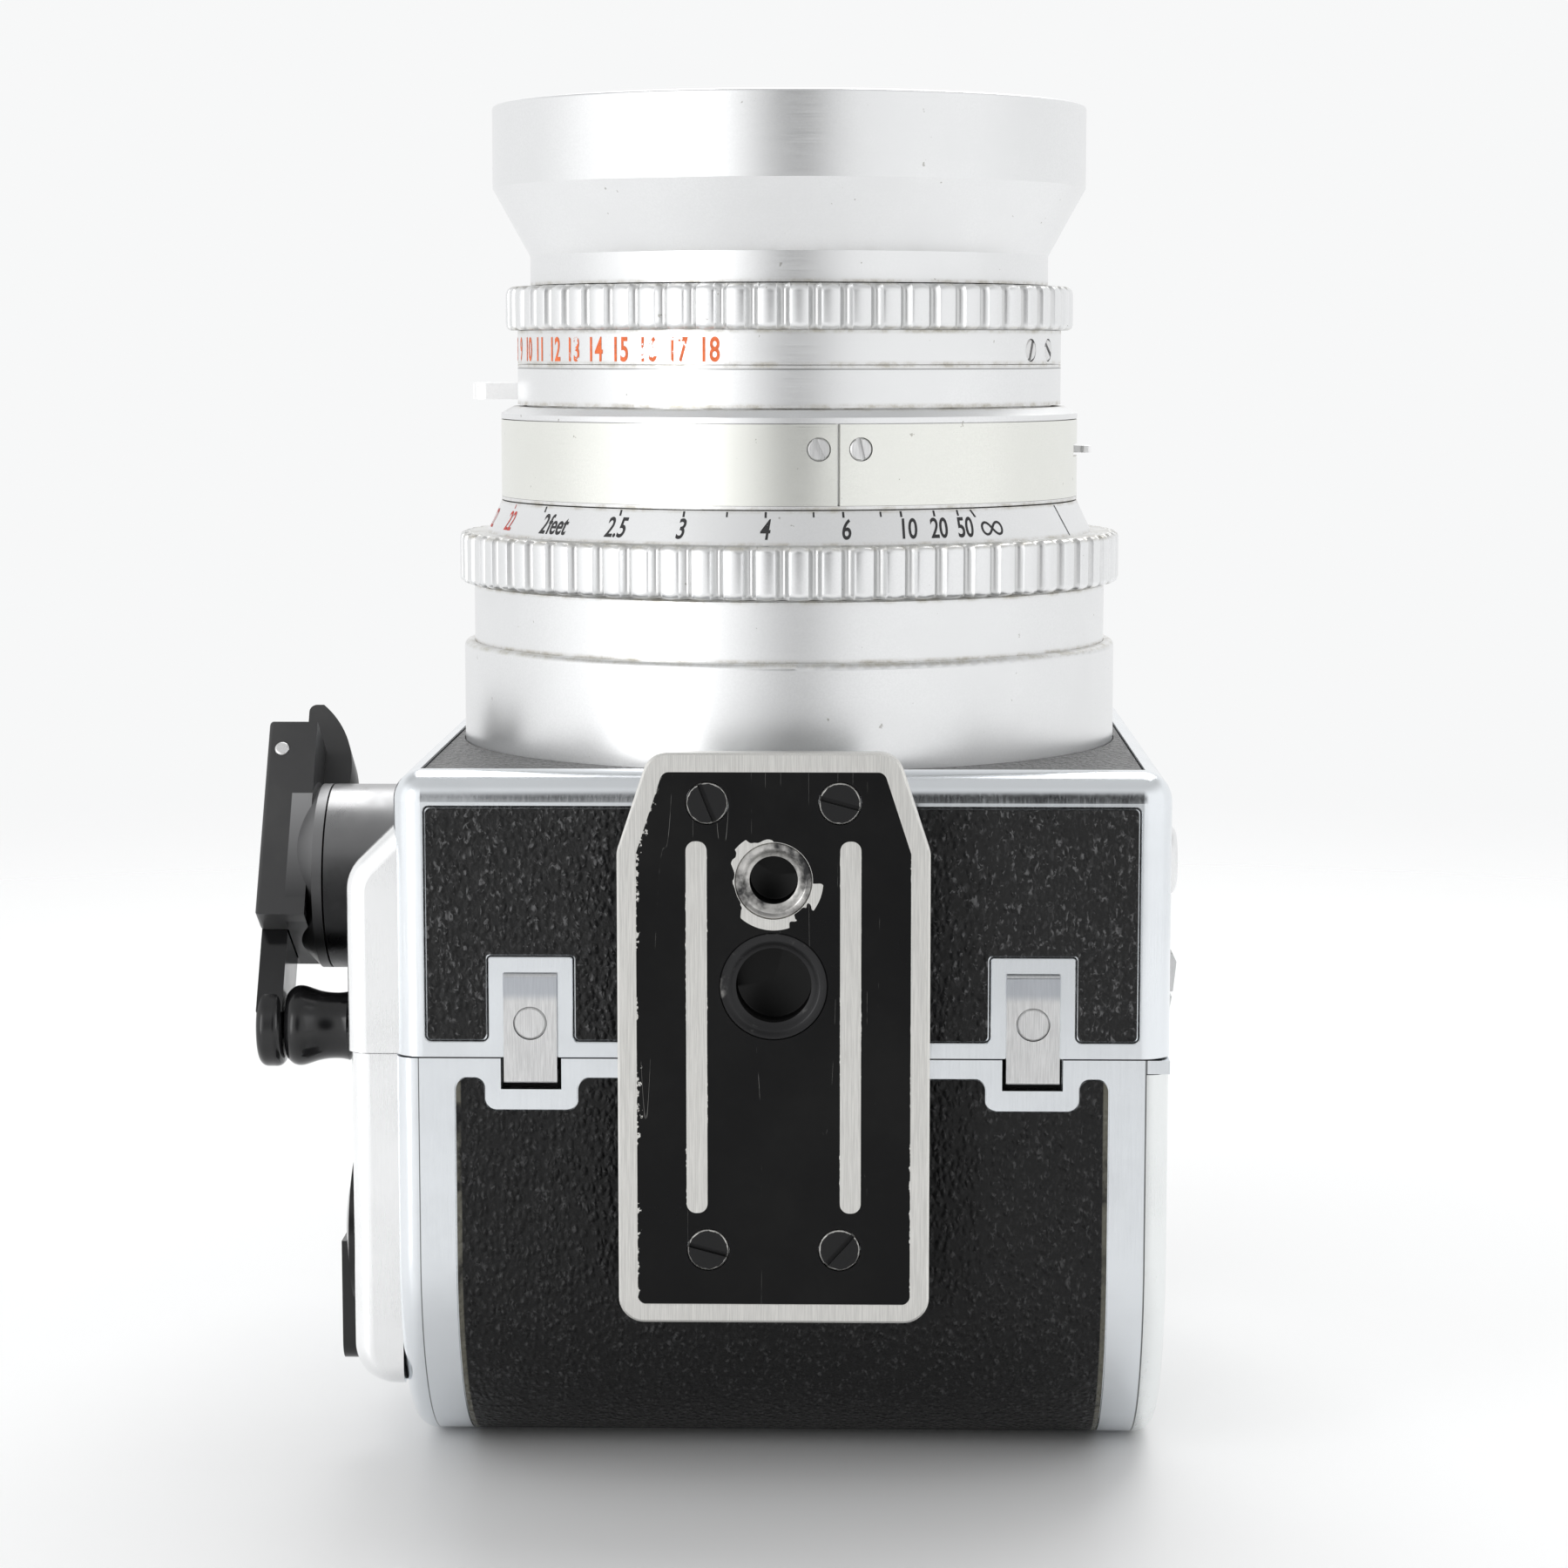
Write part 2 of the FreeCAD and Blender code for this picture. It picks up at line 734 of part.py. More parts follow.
def make_fixed_mount():
    floor = "front_z - front_dip - leather_thick"
    base = ring(
        "lens_base_ring",
        ("sleeve_radius + 0.03", floor),
        ("base_radius", floor),
        ("base_radius", "base_top"),
        ("sleeve_radius + 0.03", "base_top"),
    )
    dress(base, "Fillet", "0.7", lambda edge: edge_at(edge, "base_radius", "base_top"))
    sleeve = ring(
        "lens_sleeve",
        ("sleeve_radius - 2.6", floor),
        ("sleeve_radius", floor),
        ("sleeve_radius", "sleeve_top"),
        ("neck_radius", "sleeve_top"),
        ("neck_radius", "scale_top - 0.6"),
        ("tube_radius + running", "scale_top - 0.6"),
        ("tube_radius + running", "sleeve_top - 2"),
        ("sleeve_radius - 2.6", "sleeve_top - 4"),
    )
    dress(sleeve, "Chamfer", "0.2", lambda edge: edge_at(edge, "sleeve_radius", "sleeve_top"))


def edge_at(edge, radius, height):
    """Whether an edge is the full circle of this radius and height about the lens axis."""
    box = edge.BoundBox
    same_height = abs(box.Center.z - value(height)) < 0.01 and box.ZLength < TINY
    return same_height and abs(box.XLength - 2 * value(radius)) < 0.02


def flute(owner, radius, low, high, count, size):
    """Scalloped grooves round a grip ring."""
    drawing = sketch(owner, "XY_Plane", f"{low} - 1")
    circle(drawing, ("0", f"-({radius}) - {size} + 0.55"), size)
    cutting = feature(owner, "Pocket", drawing, f"{high} - {low} + 2", flip=True)
    repeat_about_axis(owner, cutting, count)


def make_focusing():
    focus = ring(
        "focus_ring",
        ("neck_radius + running", "focus_low"),
        ("focus_radius - 0.5", "focus_low"),
        ("focus_radius", "focus_low + 0.5"),
        ("focus_radius", "focus_high - 0.5"),
        ("focus_radius - 0.5", "focus_high"),
        ("neck_radius + running", "focus_high"),
    )
    flute(focus, "focus_radius", "focus_low", "focus_high", "focus_flutes", "1.15")
    ring(
        "distance_ring",
        ("neck_radius + running", "focus_high"),
        ("scale_low_radius", "focus_high"),
        ("scale_high_radius", "scale_top"),
        ("neck_radius + running", "scale_top"),
    )


# ---------------------------------------------------------------- shutter housing


def sector(radius, low, high, start, sweep):
    """Wedge of a cylinder about the lens axis; angles from -Y towards +X."""
    made = doc.addObject("Part::Cylinder", "Sector")
    bind(made, "Radius", radius)
    bind(made, "Height", f"({high}) - ({low})")
    made.Angle = sweep
    turn = FreeCAD.Rotation(FreeCAD.Vector(0, 0, 1), start - 90)
    made.Placement = FreeCAD.Placement(FreeCAD.Vector(0, 0, value(low)), turn)
    return made


def make_shutter_housing():
    case = ring(
        "shutter_case",
        ("rear_glass_radius + 0.05", "rear_cell_low"),
        ("rear_cell_radius", "rear_cell_low"),
        ("rear_cell_radius", "83"),
        ("throat_radius", "83"),
        ("throat_radius", "79"),
        ("tube_radius", "79"),
        ("tube_radius", "case_low"),
        ("case_radius", "case_low"),
        ("case_radius", "band_low"),
        ("case_radius - band_thick - 0.05", "band_low"),
        ("case_radius - band_thick - 0.05", "band_high + 0.1"),
        ("case_radius", "band_high + 0.1"),
        ("case_radius", "shoulder_z"),
        ("shoulder_radius", "case_top"),
        ("ring_bore - running", "case_top"),
        ("ring_bore - running", "grip_high - 0.05"),
        ("throat_radius", "grip_high - 0.05"),
        ("throat_radius", "123.5"),
        ("case_bore", "123.5"),
        ("case_bore", "86"),
        ("rear_glass_radius + 0.05", "86"),
    )
    drawing = sketch(case, "XZ_Plane")
    outline(drawing, rectangle("case_radius - 2.4", "case_radius + 1", "110.4", "111.6"))
    groove = case.newObject("PartDesign::Groove", "LeverSlot")
    groove.Profile = drawing
    groove.ReferenceAxis = (drawing, ["V_Axis"])
    groove.Midplane = True
    groove.Angle = LEVER_SLOT_SWEEP
    doc.recompute()

    shell = cut(
        rod("z", "case_radius", "band_low + 0.03", "band_high"),
        rod("z", "case_radius - band_thick", "100", "120"),
    )
    split = block(("-40", "40"), ("-0.15", "0.15"), ("100", "120"))
    tools = [turned(split, value("split_angle") - 90)]
    tools.append(sector("case_radius + 1", "110.3", "111.7", 90 - LEVER_SLOT_SWEEP / 2, LEVER_SLOT_SWEEP))
    for angle in SCREW_ANGLES:
        tools.append(radial(shaped(Part.makeCylinder(1.3, 6), "ScrewHole"), angle, 30, 111.8))
    sub_part(cut(shell, *tools), "shutter_bands")

    pieces = []
    for angle, slot in zip(SCREW_ANGLES, (122, 118, 20, 75)):
        screw = shaped(slotted_screw(1.22, 0.85, slot), "BandScrew")
        pieces.append(radial(screw, angle, value("case_radius") + 0.04, 111.8))
    sub_part(group(*pieces), "band_screws")


# ---------------------------------------------------------------- setting rings and hood


def make_setting_rings():
    speed = ring(
        "speed_ring",
        ("ring_bore", "speed_low"),
        ("ring_radius", "speed_low"),
        ("ring_radius", "speed_high - 0.4"),
        ("ring_radius - 0.15", "speed_high - 0.4"),
        ("ring_radius - 0.15", "speed_high - 0.31"),
        ("ring_radius", "speed_high - 0.31"),
        ("ring_radius", "speed_high"),
        ("ring_bore", "speed_high"),
    )
    drawing = sketch(speed, "XY_Plane", "speed_low")
    outline(drawing, rectangle("-ring_radius - 1", "-ring_radius + 0.5", "-3.1", "3.1"))
    feature(speed, "Pocket", drawing, "2.6", flip=True)

    tab = block(("-36.6", "-ring_radius + 0.45"), ("-2.9", "2.9"), ("speed_low + 0.55", "speed_low + 2.45"))
    tab = soften(tab, "1.6", pick("z", x="-36.6"))
    notches = [
        rod("z", "0.28", "speed_low", "speed_high", "-36.6 - 0.1", f"{step} * 0.8") for step in range(-2, 3)
    ]
    sub_part(cut(tab, *notches), "interlock_tab")

    scale = rod("z", "ring_radius", "stop_low", "stop_high")
    bore = rod("z", "ring_bore", "stop_low - 1", "stop_high + 1")
    holes = [
        radial(shaped(Part.makeCylinder(1.28, 5), "ScrewHole"), angle, 30.6, 122.4)
        for angle in RING_SCREW_ANGLES
    ]
    sub_part(cut(scale, bore, *holes), "aperture_scale_ring")
    screws = [
        radial(shaped(slotted_screw(1.2, 0.7, slot), "RingScrew"), angle, value("ring_radius") + 0.03, 122.4)
        for angle, slot in zip(RING_SCREW_ANGLES, (-50, 35))
    ]
    sub_part(group(*screws), "ring_screws")

    grip = ring(
        "aperture_grip_ring",
        ("ring_bore", "grip_low"),
        ("grip_radius - 0.45", "grip_low"),
        ("grip_radius", "grip_low + 0.45"),
        ("grip_radius", "grip_bevel_z"),
        ("grip_radius - 0.85", "grip_high"),
        ("ring_bore", "grip_high"),
    )
    flute(grip, "grip_radius", "grip_low", "grip_high", "grip_flutes", "1.15")

    stem = block(("case_radius - 2.3", "case_radius + 1.5"), ("-0.6", "0.6"), ("110.6", "111.4"))
    finger = block(("case_radius + 0.5", "case_radius + 1.6"), ("-1.1", "1.1"), ("110.6", "111.4"))
    sub_part(fuse(stem, soften(finger, "0.35", pick("z"))), "sync_lever")


def make_hood():
    inner = "hood_radius - hood_wall"
    hood = ring(
        "lens_hood",
        ("throat_radius - 1.2", "124.2"),
        ("throat_radius - running", "124.2"),
        ("throat_radius - running", "hood_low"),
        ("hood_neck", "hood_low"),
        ("hood_neck", "hood_flare_low"),
        ("hood_radius", "hood_flare_high"),
        ("hood_radius", "hood_top"),
        (inner, "hood_top"),
        (inner, "hood_flare_high + 0.4"),
        ("hood_neck - hood_wall", "hood_flare_low + 0.4"),
        ("throat_radius - 1.2", "hood_low - 1"),
    )
    dress(hood, "Fillet", "0.35", lambda edge: edge_at(edge, "hood_radius", "hood_top"))


# ---------------------------------------------------------------- glass and iris


def make_glass():
    ring(
        "front_cell",
        ("front_glass_radius + 0.05", "119.2"),
        ("case_bore - running", "119.2"),
        ("case_bore - running", "123.7"),
        ("throat_radius - 1.35", "123.7"),
        ("throat_radius - 1.35", "126.2"),
        ("case_bore - 0.4", "127.0"),
        ("front_glass_radius + 0.05", "126.0"),
    )
    edge = rod("z", "front_glass_radius", "119.4", "130")
    sub_part(cut(common(edge, ball("53", "127.6 - 53")), ball("40", "122.4 - 40")), "front_element")
    edge = rod("z", "rear_glass_radius", "rear_cell_low", "66")
    sub_part(common(edge, ball("40", "rear_cell_low + 40.4")), "rear_element")


def make_iris():
    """Five thin curved blades, each on a plane of its own and hinged near one end."""
    count = int(value("blade_count"))
    for number in range(count):
        low = f"iris_z + {number} * blade_pitch"
        start = number * 360 / count
        leaf = cut(
            sector("blade_pivot + 1.6", low, f"{low} + blade_thick", start, 100),
            rod("z", "15.5", f"{low} - 1", f"{low} + 1"),
        )
        sub_part(leaf, f"iris_blade_{number + 1}")


# ---------------------------------------------------------------- winding side


def crank_placement():
    """Frame of the crank: +Z outwards (-X), +X along the arm, origin on the crank's axis."""
    tilt = math.radians(value("crank_tilt"))
    sine, cosine = math.sin(tilt), math.cos(tilt)
    turn = FreeCAD.Matrix(0, 0, -1, 0, sine, cosine, 0, 0, cosine, -sine, 0, 0)
    return FreeCAD.Placement(
        FreeCAD.Vector(0, value("crank_y"), value("crank_z")), FreeCAD.Placement(turn).Rotation
    )


def on_crank(item, label):
    """Move a piece from the crank's own frame to its place on the camera."""
    made = group(item)
    made.Placement = crank_placement()
    return sub_part(made, label)


def gear(teeth, module, low, high, phase, shaft=None):
    """Spur gear along +Z; phase is the angle of one tooth's middle, in degrees."""
    pitch = teeth * module / 2
    step = 2 * math.pi / teeth
    corners = ((pitch - 0.85 * module, 0.30), (pitch + 0.7 * module, 0.11))
    points = []
    for tooth in range(teeth):
        middle = math.radians(phase) + tooth * step
        for radius, share in (corners[0], corners[1]):
            points.append((radius, middle - share * step))
        for radius, share in (corners[1], corners[0]):
            points.append((radius, middle + share * step))
    ends = [FreeCAD.Vector(r * math.cos(a), r * math.sin(a), low) for r, a in points]
    face = Part.Face(Part.makePolygon(ends + ends[:1]))
    solid = face.extrude(FreeCAD.Vector(0, 0, high - low))
    if shaft:
        radius, start, end = shaft
        solid = solid.fuse(Part.makeCylinder(radius, end - start, FreeCAD.Vector(0, 0, start)))
    return solid


def make_crank():
    floor = "-body_half_x + leather_thick + leather_dip"
    collar = cut(
        rod("x", "collar_radius", "-collar_end", floor, "crank_y", "crank_z"),
        rod("x", "shaft_radius + running", "-60", "-40", "crank_y", "crank_z"),
    )
    sub_part(collar, "crank_collar")

    pin_height = "(lever_inner + lever_outer) / 2"
    disc = rod("z", "collar_radius", "collar_end + 0.2", "disc_end")
    disc = soften(disc, "3.0", pick(z="disc_end"), "Part::Chamfer")
    arm = block(("arm_low", "arm_high"), ("-arm_half", "arm_far"), ("arm_start", "arm_end"))
    arm = soften(arm, "0.5", any_of(pick("y", z="arm_end"), pick("x", z="arm_end")))
    heel = common(
        rod("y", "11.1", "-1", "arm_far - 0.1", "13.0", "61.6"),
        soften(
            block(("collar_radius + 0.4", "21.3"), ("-1", "arm_far"), ("50.5", "disc_end")),
            "0.9",
            pick("y", x="21.3", z="disc_end"),
        ),
    )
    channel = block(("-30", "30"), ("-lever_half - 0.1", "lever_half + 0.1"), ("lever_inner - 0.1", "70"))
    pin_hole = rod("y", "lever_pin_radius + 0.02", "-9", "9", "lever_pin", pin_height)
    on_crank(cut(fuse(disc, arm, heel), channel, pin_hole), "crank_arm")

    pin = rod("y", "lever_pin_radius", "-arm_half - 0.2", "arm_far + 0.2", "lever_pin", pin_height)
    pin = soften(pin, "0.3", any_of(pick(y="-arm_half - 0.2"), pick(y="arm_far + 0.2")))
    on_crank(pin, "crank_pin")

    bar = block(("lever_tip", "lever_pin"), ("-lever_half", "lever_half"), ("lever_inner", "lever_outer"))
    end = rod("z", "knob_radius", "lever_inner", "lever_outer", "lever_tip", "0")
    end = soften(end, "1.0", any_of(pick(z="lever_outer"), pick(z="lever_inner")))
    eye = rod("y", "(lever_outer - lever_inner) / 2", "-lever_half", "lever_half", "lever_pin", pin_height)
    hole = rod("y", "lever_pin_radius + 0.03", "-9", "9", "lever_pin", pin_height)
    knob_hole = rod("z", "1.53", "lever_inner - 1", "lever_outer + 1", "lever_tip", "0")
    on_crank(cut(fuse(bar, end, eye), hole, knob_hole), "crank_lever")

    low, high = value("knob_end"), value("lever_inner") - 0.1
    side = Part.BSplineCurve()
    side.interpolate(
        [
            FreeCAD.Vector(radius, 0, low + share * (high - low))
            for radius, share in ((3.9, 0.06), (3.7, 0.3), (4.0, 0.55), (4.5, 0.8), (3.7, 0.98))
        ]
    )
    first, last = side.value(side.FirstParameter), side.value(side.LastParameter)
    corners = [
        last,
        FreeCAD.Vector(1.5, 0, high),
        FreeCAD.Vector(1.5, 0, value("lever_outer") - 0.05),
        FreeCAD.Vector(0, 0, value("lever_outer") - 0.05),
        FreeCAD.Vector(0, 0, low),
        FreeCAD.Vector(3.6, 0, low),
        first,
    ]
    edges = [side.toShape()] + [Part.makeLine(a, b) for a, b in zip(corners, corners[1:])]
    face = Part.Face(Part.Wire(Part.__sortEdges__(edges)))
    knob = face.revolve(FreeCAD.Vector(), FreeCAD.Vector(0, 0, 1), 360)
    knob.translate(FreeCAD.Vector(value("lever_tip"), 0, 0))
    on_crank(shaped(knob, "Knob"), "crank_knob")

    train = value("winding_module") * (value("winding_teeth") + value("transfer_teeth")) / 2
    aim = value("train_angle")
    large = gear(
        int(value("winding_teeth")),
        value("winding_module"),
        31,
        34.5,
        aim,
        shaft=(value("shaft_radius"), 30, value("collar_end") + 0.2),
    )
    on_crank(shaped(large, "Gear"), "winding_gear")
    teeth = int(value("transfer_teeth"))
    small = gear(teeth, value("winding_module"), 31, 34.5, aim + 180 + 180 / teeth, shaft=(1.5, 29, 36))
    turn = math.radians(aim)
    small.translate(FreeCAD.Vector(train * math.cos(turn), train * math.sin(turn), 0))
    on_crank(shaped(small, "Gear"), "transfer_gear")


def make_gear_housings():
    cover = doc.addObject("PartDesign::Body", "HousingSolid")
    drawing = sketch(cover, "XZ_Plane", "-housing_far")
    foot = "-body_half_x + 1"
    outline(
        drawing,
        [
            (foot, "seam_z + 0.1"),
            ("-housing_reach", "seam_z + 0.1"),
            ("-housing_reach", "housing_shoulder"),
            ("-body_half_x", "71.9"),
            (foot, "71.9"),
        ],
    )
    feature(cover, "Pad", drawing, "housing_far - housing_near")
    dress(cover, "Fillet", "5", pick("y", x="-housing_reach", z="housing_shoulder"))
    dress(cover, "Fillet", "2.2", pick("z", x="-housing_reach"))
    drawing = sketch(cover, "YZ_Plane", "-body_half_x")
    outline(drawing, rectangle("housing_near + 1.5", "housing_far - 1.5", "seam_z + 1.6", "60"))
    feature(cover, "Pocket", drawing, "housing_reach - body_half_x - 1.5")
    shell = next(item for item in sub_parts if item.Label == "body_shell")
    sub_part(cut(cover, shell), "body_gear_housing")

    cover = body("magazine_gear_housing")
    drawing = sketch(cover, "YZ_Plane", "-mag_half_x")
    outline(drawing, rectangle("mag_housing_near", "mag_housing_far", "mag_housing_low", "seam_z - 0.6"))
    feature(cover, "Pad", drawing, "mag_housing_reach - mag_half_x", flip=True)
    dress(cover, "Fillet", "4.5", pick("y", x="-mag_housing_reach", z="mag_housing_low"))
    dress(cover, "Fillet", "2.2", pick("z", x="-mag_housing_reach"))
    drawing = sketch(cover, "YZ_Plane", "-mag_half_x")
    near, far = "mag_housing_near + 1.6", "mag_housing_far - 1.6"
    outline(drawing, rectangle(near, far, "mag_housing_low + 3.5", "seam_z - 2.2"))
    feature(cover, "Pocket", drawing, "mag_housing_reach - mag_half_x - 1.6")
    drawing = sketch(cover, "YZ_Plane", "-mag_housing_reach")
    circle(drawing, ("-spool_y", "spool_z"), "winder_radius + 0.15")
    feature(cover, "Pocket", drawing, "0.6", flip=True)
    drawing = sketch(cover, "YZ_Plane", "-mag_housing_reach")
    circle(drawing, ("-spool_y", "spool_z"), "3.05")
    feature(cover, "Pocket", drawing, "2.5", flip=True)


# ---------------------------------------------------------------- magazine


def magazine_end(label, inner, outer, top):
    """End plate of the magazine between two X places, its outer edges rounded."""
    plate = body(label)
    left = value(inner) > value(outer)
    drawing = sketch(plate, "YZ_Plane", inner)
    outline(drawing, rectangle("-body_half_y", "body_half_y", "0", top))
    feature(plate, "Pad", drawing, f"abs({outer} - ({inner}))", flip=left)
    dress(plate, "Fillet", "mag_round", pick("x", z="0"))
    top_place = value(top)
    dress(
        plate,
        "Fillet",
        "mag_edge - 0.2",
        lambda edge: abs(edge.BoundBox.XMin - value(outer)) < TINY
        and edge.BoundBox.XLength < TINY
        and edge.BoundBox.Center.z < top_place - TINY,
    )
    return plate


def rounded_trough(half_x, margin):
    """Block as wide as the magazine less a margin, with its two back edges rounded."""
    side = f"body_half_y - {margin}"
    base = block((f"-({half_x})", half_x), (f"-({side})", side), (margin, "60"))
    return soften(base, f"mag_round - {margin}", pick("x", z=margin))


def magazine_wrap(half_x, outer, gap):
    """The leather's space: underside, back and top in one sheet, cleared round the fittings."""
    sheet = cut(rounded_trough(half_x, outer), rounded_trough("60", "mag_leather"))
    tools = [block(("-60", "60"), ("-60", "60"), (f"mag_panel_top - {gap}", "70"))]
    for side in (-1, 1):
        left = f"{side} * hook_x - tab_half - 0.2 - {gap}"
        right = f"{side} * hook_x + tab_half + 0.2 + {gap}"
        tab = block((left, right), ("-60", "-30"), (f"mag_tab_low - {gap}", "70"))
        tools.append(soften(tab, "mag_leather_round", pick("y", z=f"mag_tab_low - {gap}")))
    tools.append(block((f"-14 - {gap}", f"14 + {gap}"), ("30", "60"), (f"33 - {gap}", "70")))
    return soften(cut(sheet, *tools), "mag_leather_round", pick("y", z=f"mag_panel_top - {gap}"))


def make_magazine():
    trough = doc.addObject("PartDesign::Body", "MagazineTrough")
    drawing = sketch(trough, "YZ_Plane", "-mag_seam_x")
    outline(drawing, rectangle("-body_half_y", "body_half_y", "0", "seam_z - seam_gap"))
    feature(trough, "Pad", drawing, "2 * mag_seam_x")
    drawing = sketch(trough, "YZ_Plane", "-mag_seam_x")
    side = "body_half_y - mag_wall"
    outline(drawing, rectangle(f"-({side})", side, "mag_wall", "44.5"))
    feature(trough, "Pocket", drawing, "2 * mag_seam_x + 1", flip=True)
    dress(trough, "Fillet", "mag_round - mag_wall", pick("x", z="mag_wall"))
    dress(trough, "Fillet", "mag_round", pick("x", z="0"))

    flange = block(
        ("mag_seam_x - 0.5", "mag_half_x"),
        ("-body_half_y", "body_half_y"),
        ("45.6", "seam_z - seam_gap"),
    )
    gate = block(("-gate_half", "gate_half"), ("-gate_half", "gate_half"), ("40", "50"))
    slide_slot = block(
        ("-gate_half - 1", "60"), ("-gate_half - 1.5", "gate_half + 1.5"), ("45.8", "46.4")
    )
    tools = [gate, slide_slot, magazine_wrap("mag_panel_half", "-1", "0")]
    for side in (-1, 1):
        tools.append(
            block(
                (f"{side} * hook_x - hook_half - 0.4", f"{side} * hook_x + hook_half + 0.4"),
                ("-60", "-40.7"),
                ("slot_low", "50"),
            )
        )
    sub_part(cut(fuse(trough, flange), *tools), "magazine_shell")
    sub_part(magazine_wrap("mag_panel_half - 0.15", "0", "0.15"), "magazine_leather")

    plate = magazine_end("magazine_side_plate", "-mag_seam_x", "-mag_half_x", "seam_z - seam_gap")
    drawing = sketch(plate, "YZ_Plane", "-mag_half_x")
    circle(drawing, ("-spool_y", "spool_z"), "3.05")
    feature(plate, "Pocket", drawing, "4", flip=True)

    plate = magazine_end("insert_end_plate", "mag_seam_x + 0.04", "mag_half_x", "45.5")
    drawing = sketch(plate, "XZ_Plane", "-12")
    finger = [
        ("mag_half_x - 1", "45.4"),
        ("45.8", "45.4"),
        ("44.3", "37.5"),
        ("43.6", "37.5"),
        ("mag_half_x - 1", "43"),
    ]
    outline(drawing, finger)
    feature(plate, "Pad", drawing, "6")

    catch = block(("-8", "8"), ("body_half_y + 0.05", "body_half_y + 2.6"), ("35.5", "42.5"))
    catch = soften(catch, "0.8", pick(y="body_half_y + 2.6"))
    ridges = [
        block((f"{step} * 2 - 0.4", f"{step} * 2 + 0.4"), ("body_half_y + 2.2", "60"), ("37", "41"))
        for step in range(-2, 3)
    ]
    sub_part(cut(catch, *ridges), "magazine_catch")


def make_winder():
    height = value("spool_z")
    near = -value("spool_y")
    reach = value("mag_housing_reach")
    disc = Part.makeCylinder(value("winder_radius"), 1.3, FreeCAD.Vector(0, 0, reach - 0.5))
    dome = Part.makeSphere(28, FreeCAD.Vector(0, 0, reach + 2.0 - 28))
    crown = Part.makeCylinder(value("winder_radius"), 3, FreeCAD.Vector(0, 0, reach - 0.5))
    disc = disc.fuse(crown.common(dome))
    handle = Part.makeBox(11.4, 5, 1.6, FreeCAD.Vector(1.5, -2.5, reach + 0.9))
    handle = handle.fuse(Part.makeCylinder(2.5, 1.6, FreeCAD.Vector(12.9, 0, reach + 0.9)))
    stem = Part.makeCylinder(3.0, reach - 35.3, FreeCAD.Vector(0, 0, 35.3))
    teeth = gear(int(value("counter_teeth")), value("counter_module"), 42.0, 44.5, 90)
    solid = disc.fuse([handle, stem, teeth]).removeSplitter()
    winder = shaped(solid, "Winder")
    facing = FreeCAD.Matrix(0, 0, -1, 0, 0, -1, 0, near, -1, 0, 0, height)
    winder.Placement = FreeCAD.Placement(facing)
    sub_part(winder, "magazine_winder")

    count = int(value("counter_teeth"))
    spacing = count * value("counter_module")
    idle = gear(count, value("counter_module"), 42.0, 44.5, -90 + 180 / count, shaft=(1.2, 41.6, 45.2))
    counter = shaped(idle, "Counter")
    facing = FreeCAD.Matrix(0, 0, -1, 0, 0, -1, 0, near + spacing, -1, 0, 0, height)
    counter.Placement = FreeCAD.Placement(facing)
    sub_part(counter, "counter_gear")


def make_film_insert():
    cheeks = [
        block(("-35", "-33.6"), ("-35.5", "35.5"), ("13.5", "42.4")),
        block(("33.6", "35"), ("-35.5", "35.5"), ("13.5", "42.4")),
    ]
    floor = block(("-34", "mag_seam_x + 0.04"), ("-11", "11"), ("20", "23"))
    pressure = block(("-29", "29"), ("-29", "29"), ("42.7", "44.2"))
    posts = [
        rod("z", "1.8", "22.5", "43", f"{across} * 24", f"{along} * 8")
        for across in (-1, 1)
        for along in (-1, 1)
    ]
    holes = [rod("x", "3.05", "-40", "40", f"{side} * spool_y", "spool_z") for side in (-1, 1)]
    sub_part(cut(fuse(*cheeks, floor, pressure, *posts), *holes), "insert_frame")

    for label, side in (("takeup_spool", -1), ("feed_spool", 1)):
        place = (f"{side} * spool_y", "spool_z")
        core = rod("x", "4.2", "-spool_half", "spool_half", *place)
        pins = rod("x", "3.0", "-spool_half - 1.9", "spool_half + 1.9", *place)
        flanges = [
            rod("x", "spool_flange", "-spool_half", "-spool_half + 1.2", *place),
            rod("x", "spool_flange", "spool_half - 1.2", "spool_half", *place),
        ]
        film = rod("x", "5.5" if side < 0 else "10.5", "-30.5", "30.5", *place)
        sub_part(fuse(core, pins, film, *flanges), label)

    disc = rod("x", "6.5", "mag_half_x + 0.05", "mag_half_x + 1.1", "8", "22")
    key = block(("mag_half_x + 1", "mag_half_x + 3"), ("2.5", "13.5"), ("21", "23"))
    key = soften(key, "0.6", pick("z"))
    sub_part(fuse(soften(disc, "0.4", pick(x="mag_half_x + 1.1")), key), "insert_key")


# ---------------------------------------------------------------- side and top fittings


def make_side_fittings():
    floor = "body_half_x - leather_thick - leather_dip"
    cap = rod("x", "4", floor, "43.6", "-22", "65.9")
    sub_part(soften(cap, "1.2", pick(x="43.6")), "side_cap")

    profile = [
        (floor, "52.1"),
        ("43.2", "52.1"),
        ("45.6", "51.1"),
        ("46.3", "49.6"),
        ("45.9", "46"),
        ("44.5", "46"),
        ("44.6", "48.4"),
        ("body_half_x", "48.4"),
        ("body_half_x", "panel_low"),
        (floor, "panel_low"),
    ]
    lugs = []
    for side in (-1, 1):
        lug = doc.addObject("PartDesign::Body", "StrapLug")
        drawing = sketch(lug, "XZ_Plane", "-12")
        outline(drawing, [(f"{side} * ({x})", z) for x, z in profile])
        feature(lug, "Pad", drawing, "6")
        lugs.append(lug)
    sub_part(group(*lugs), "strap_lugs")


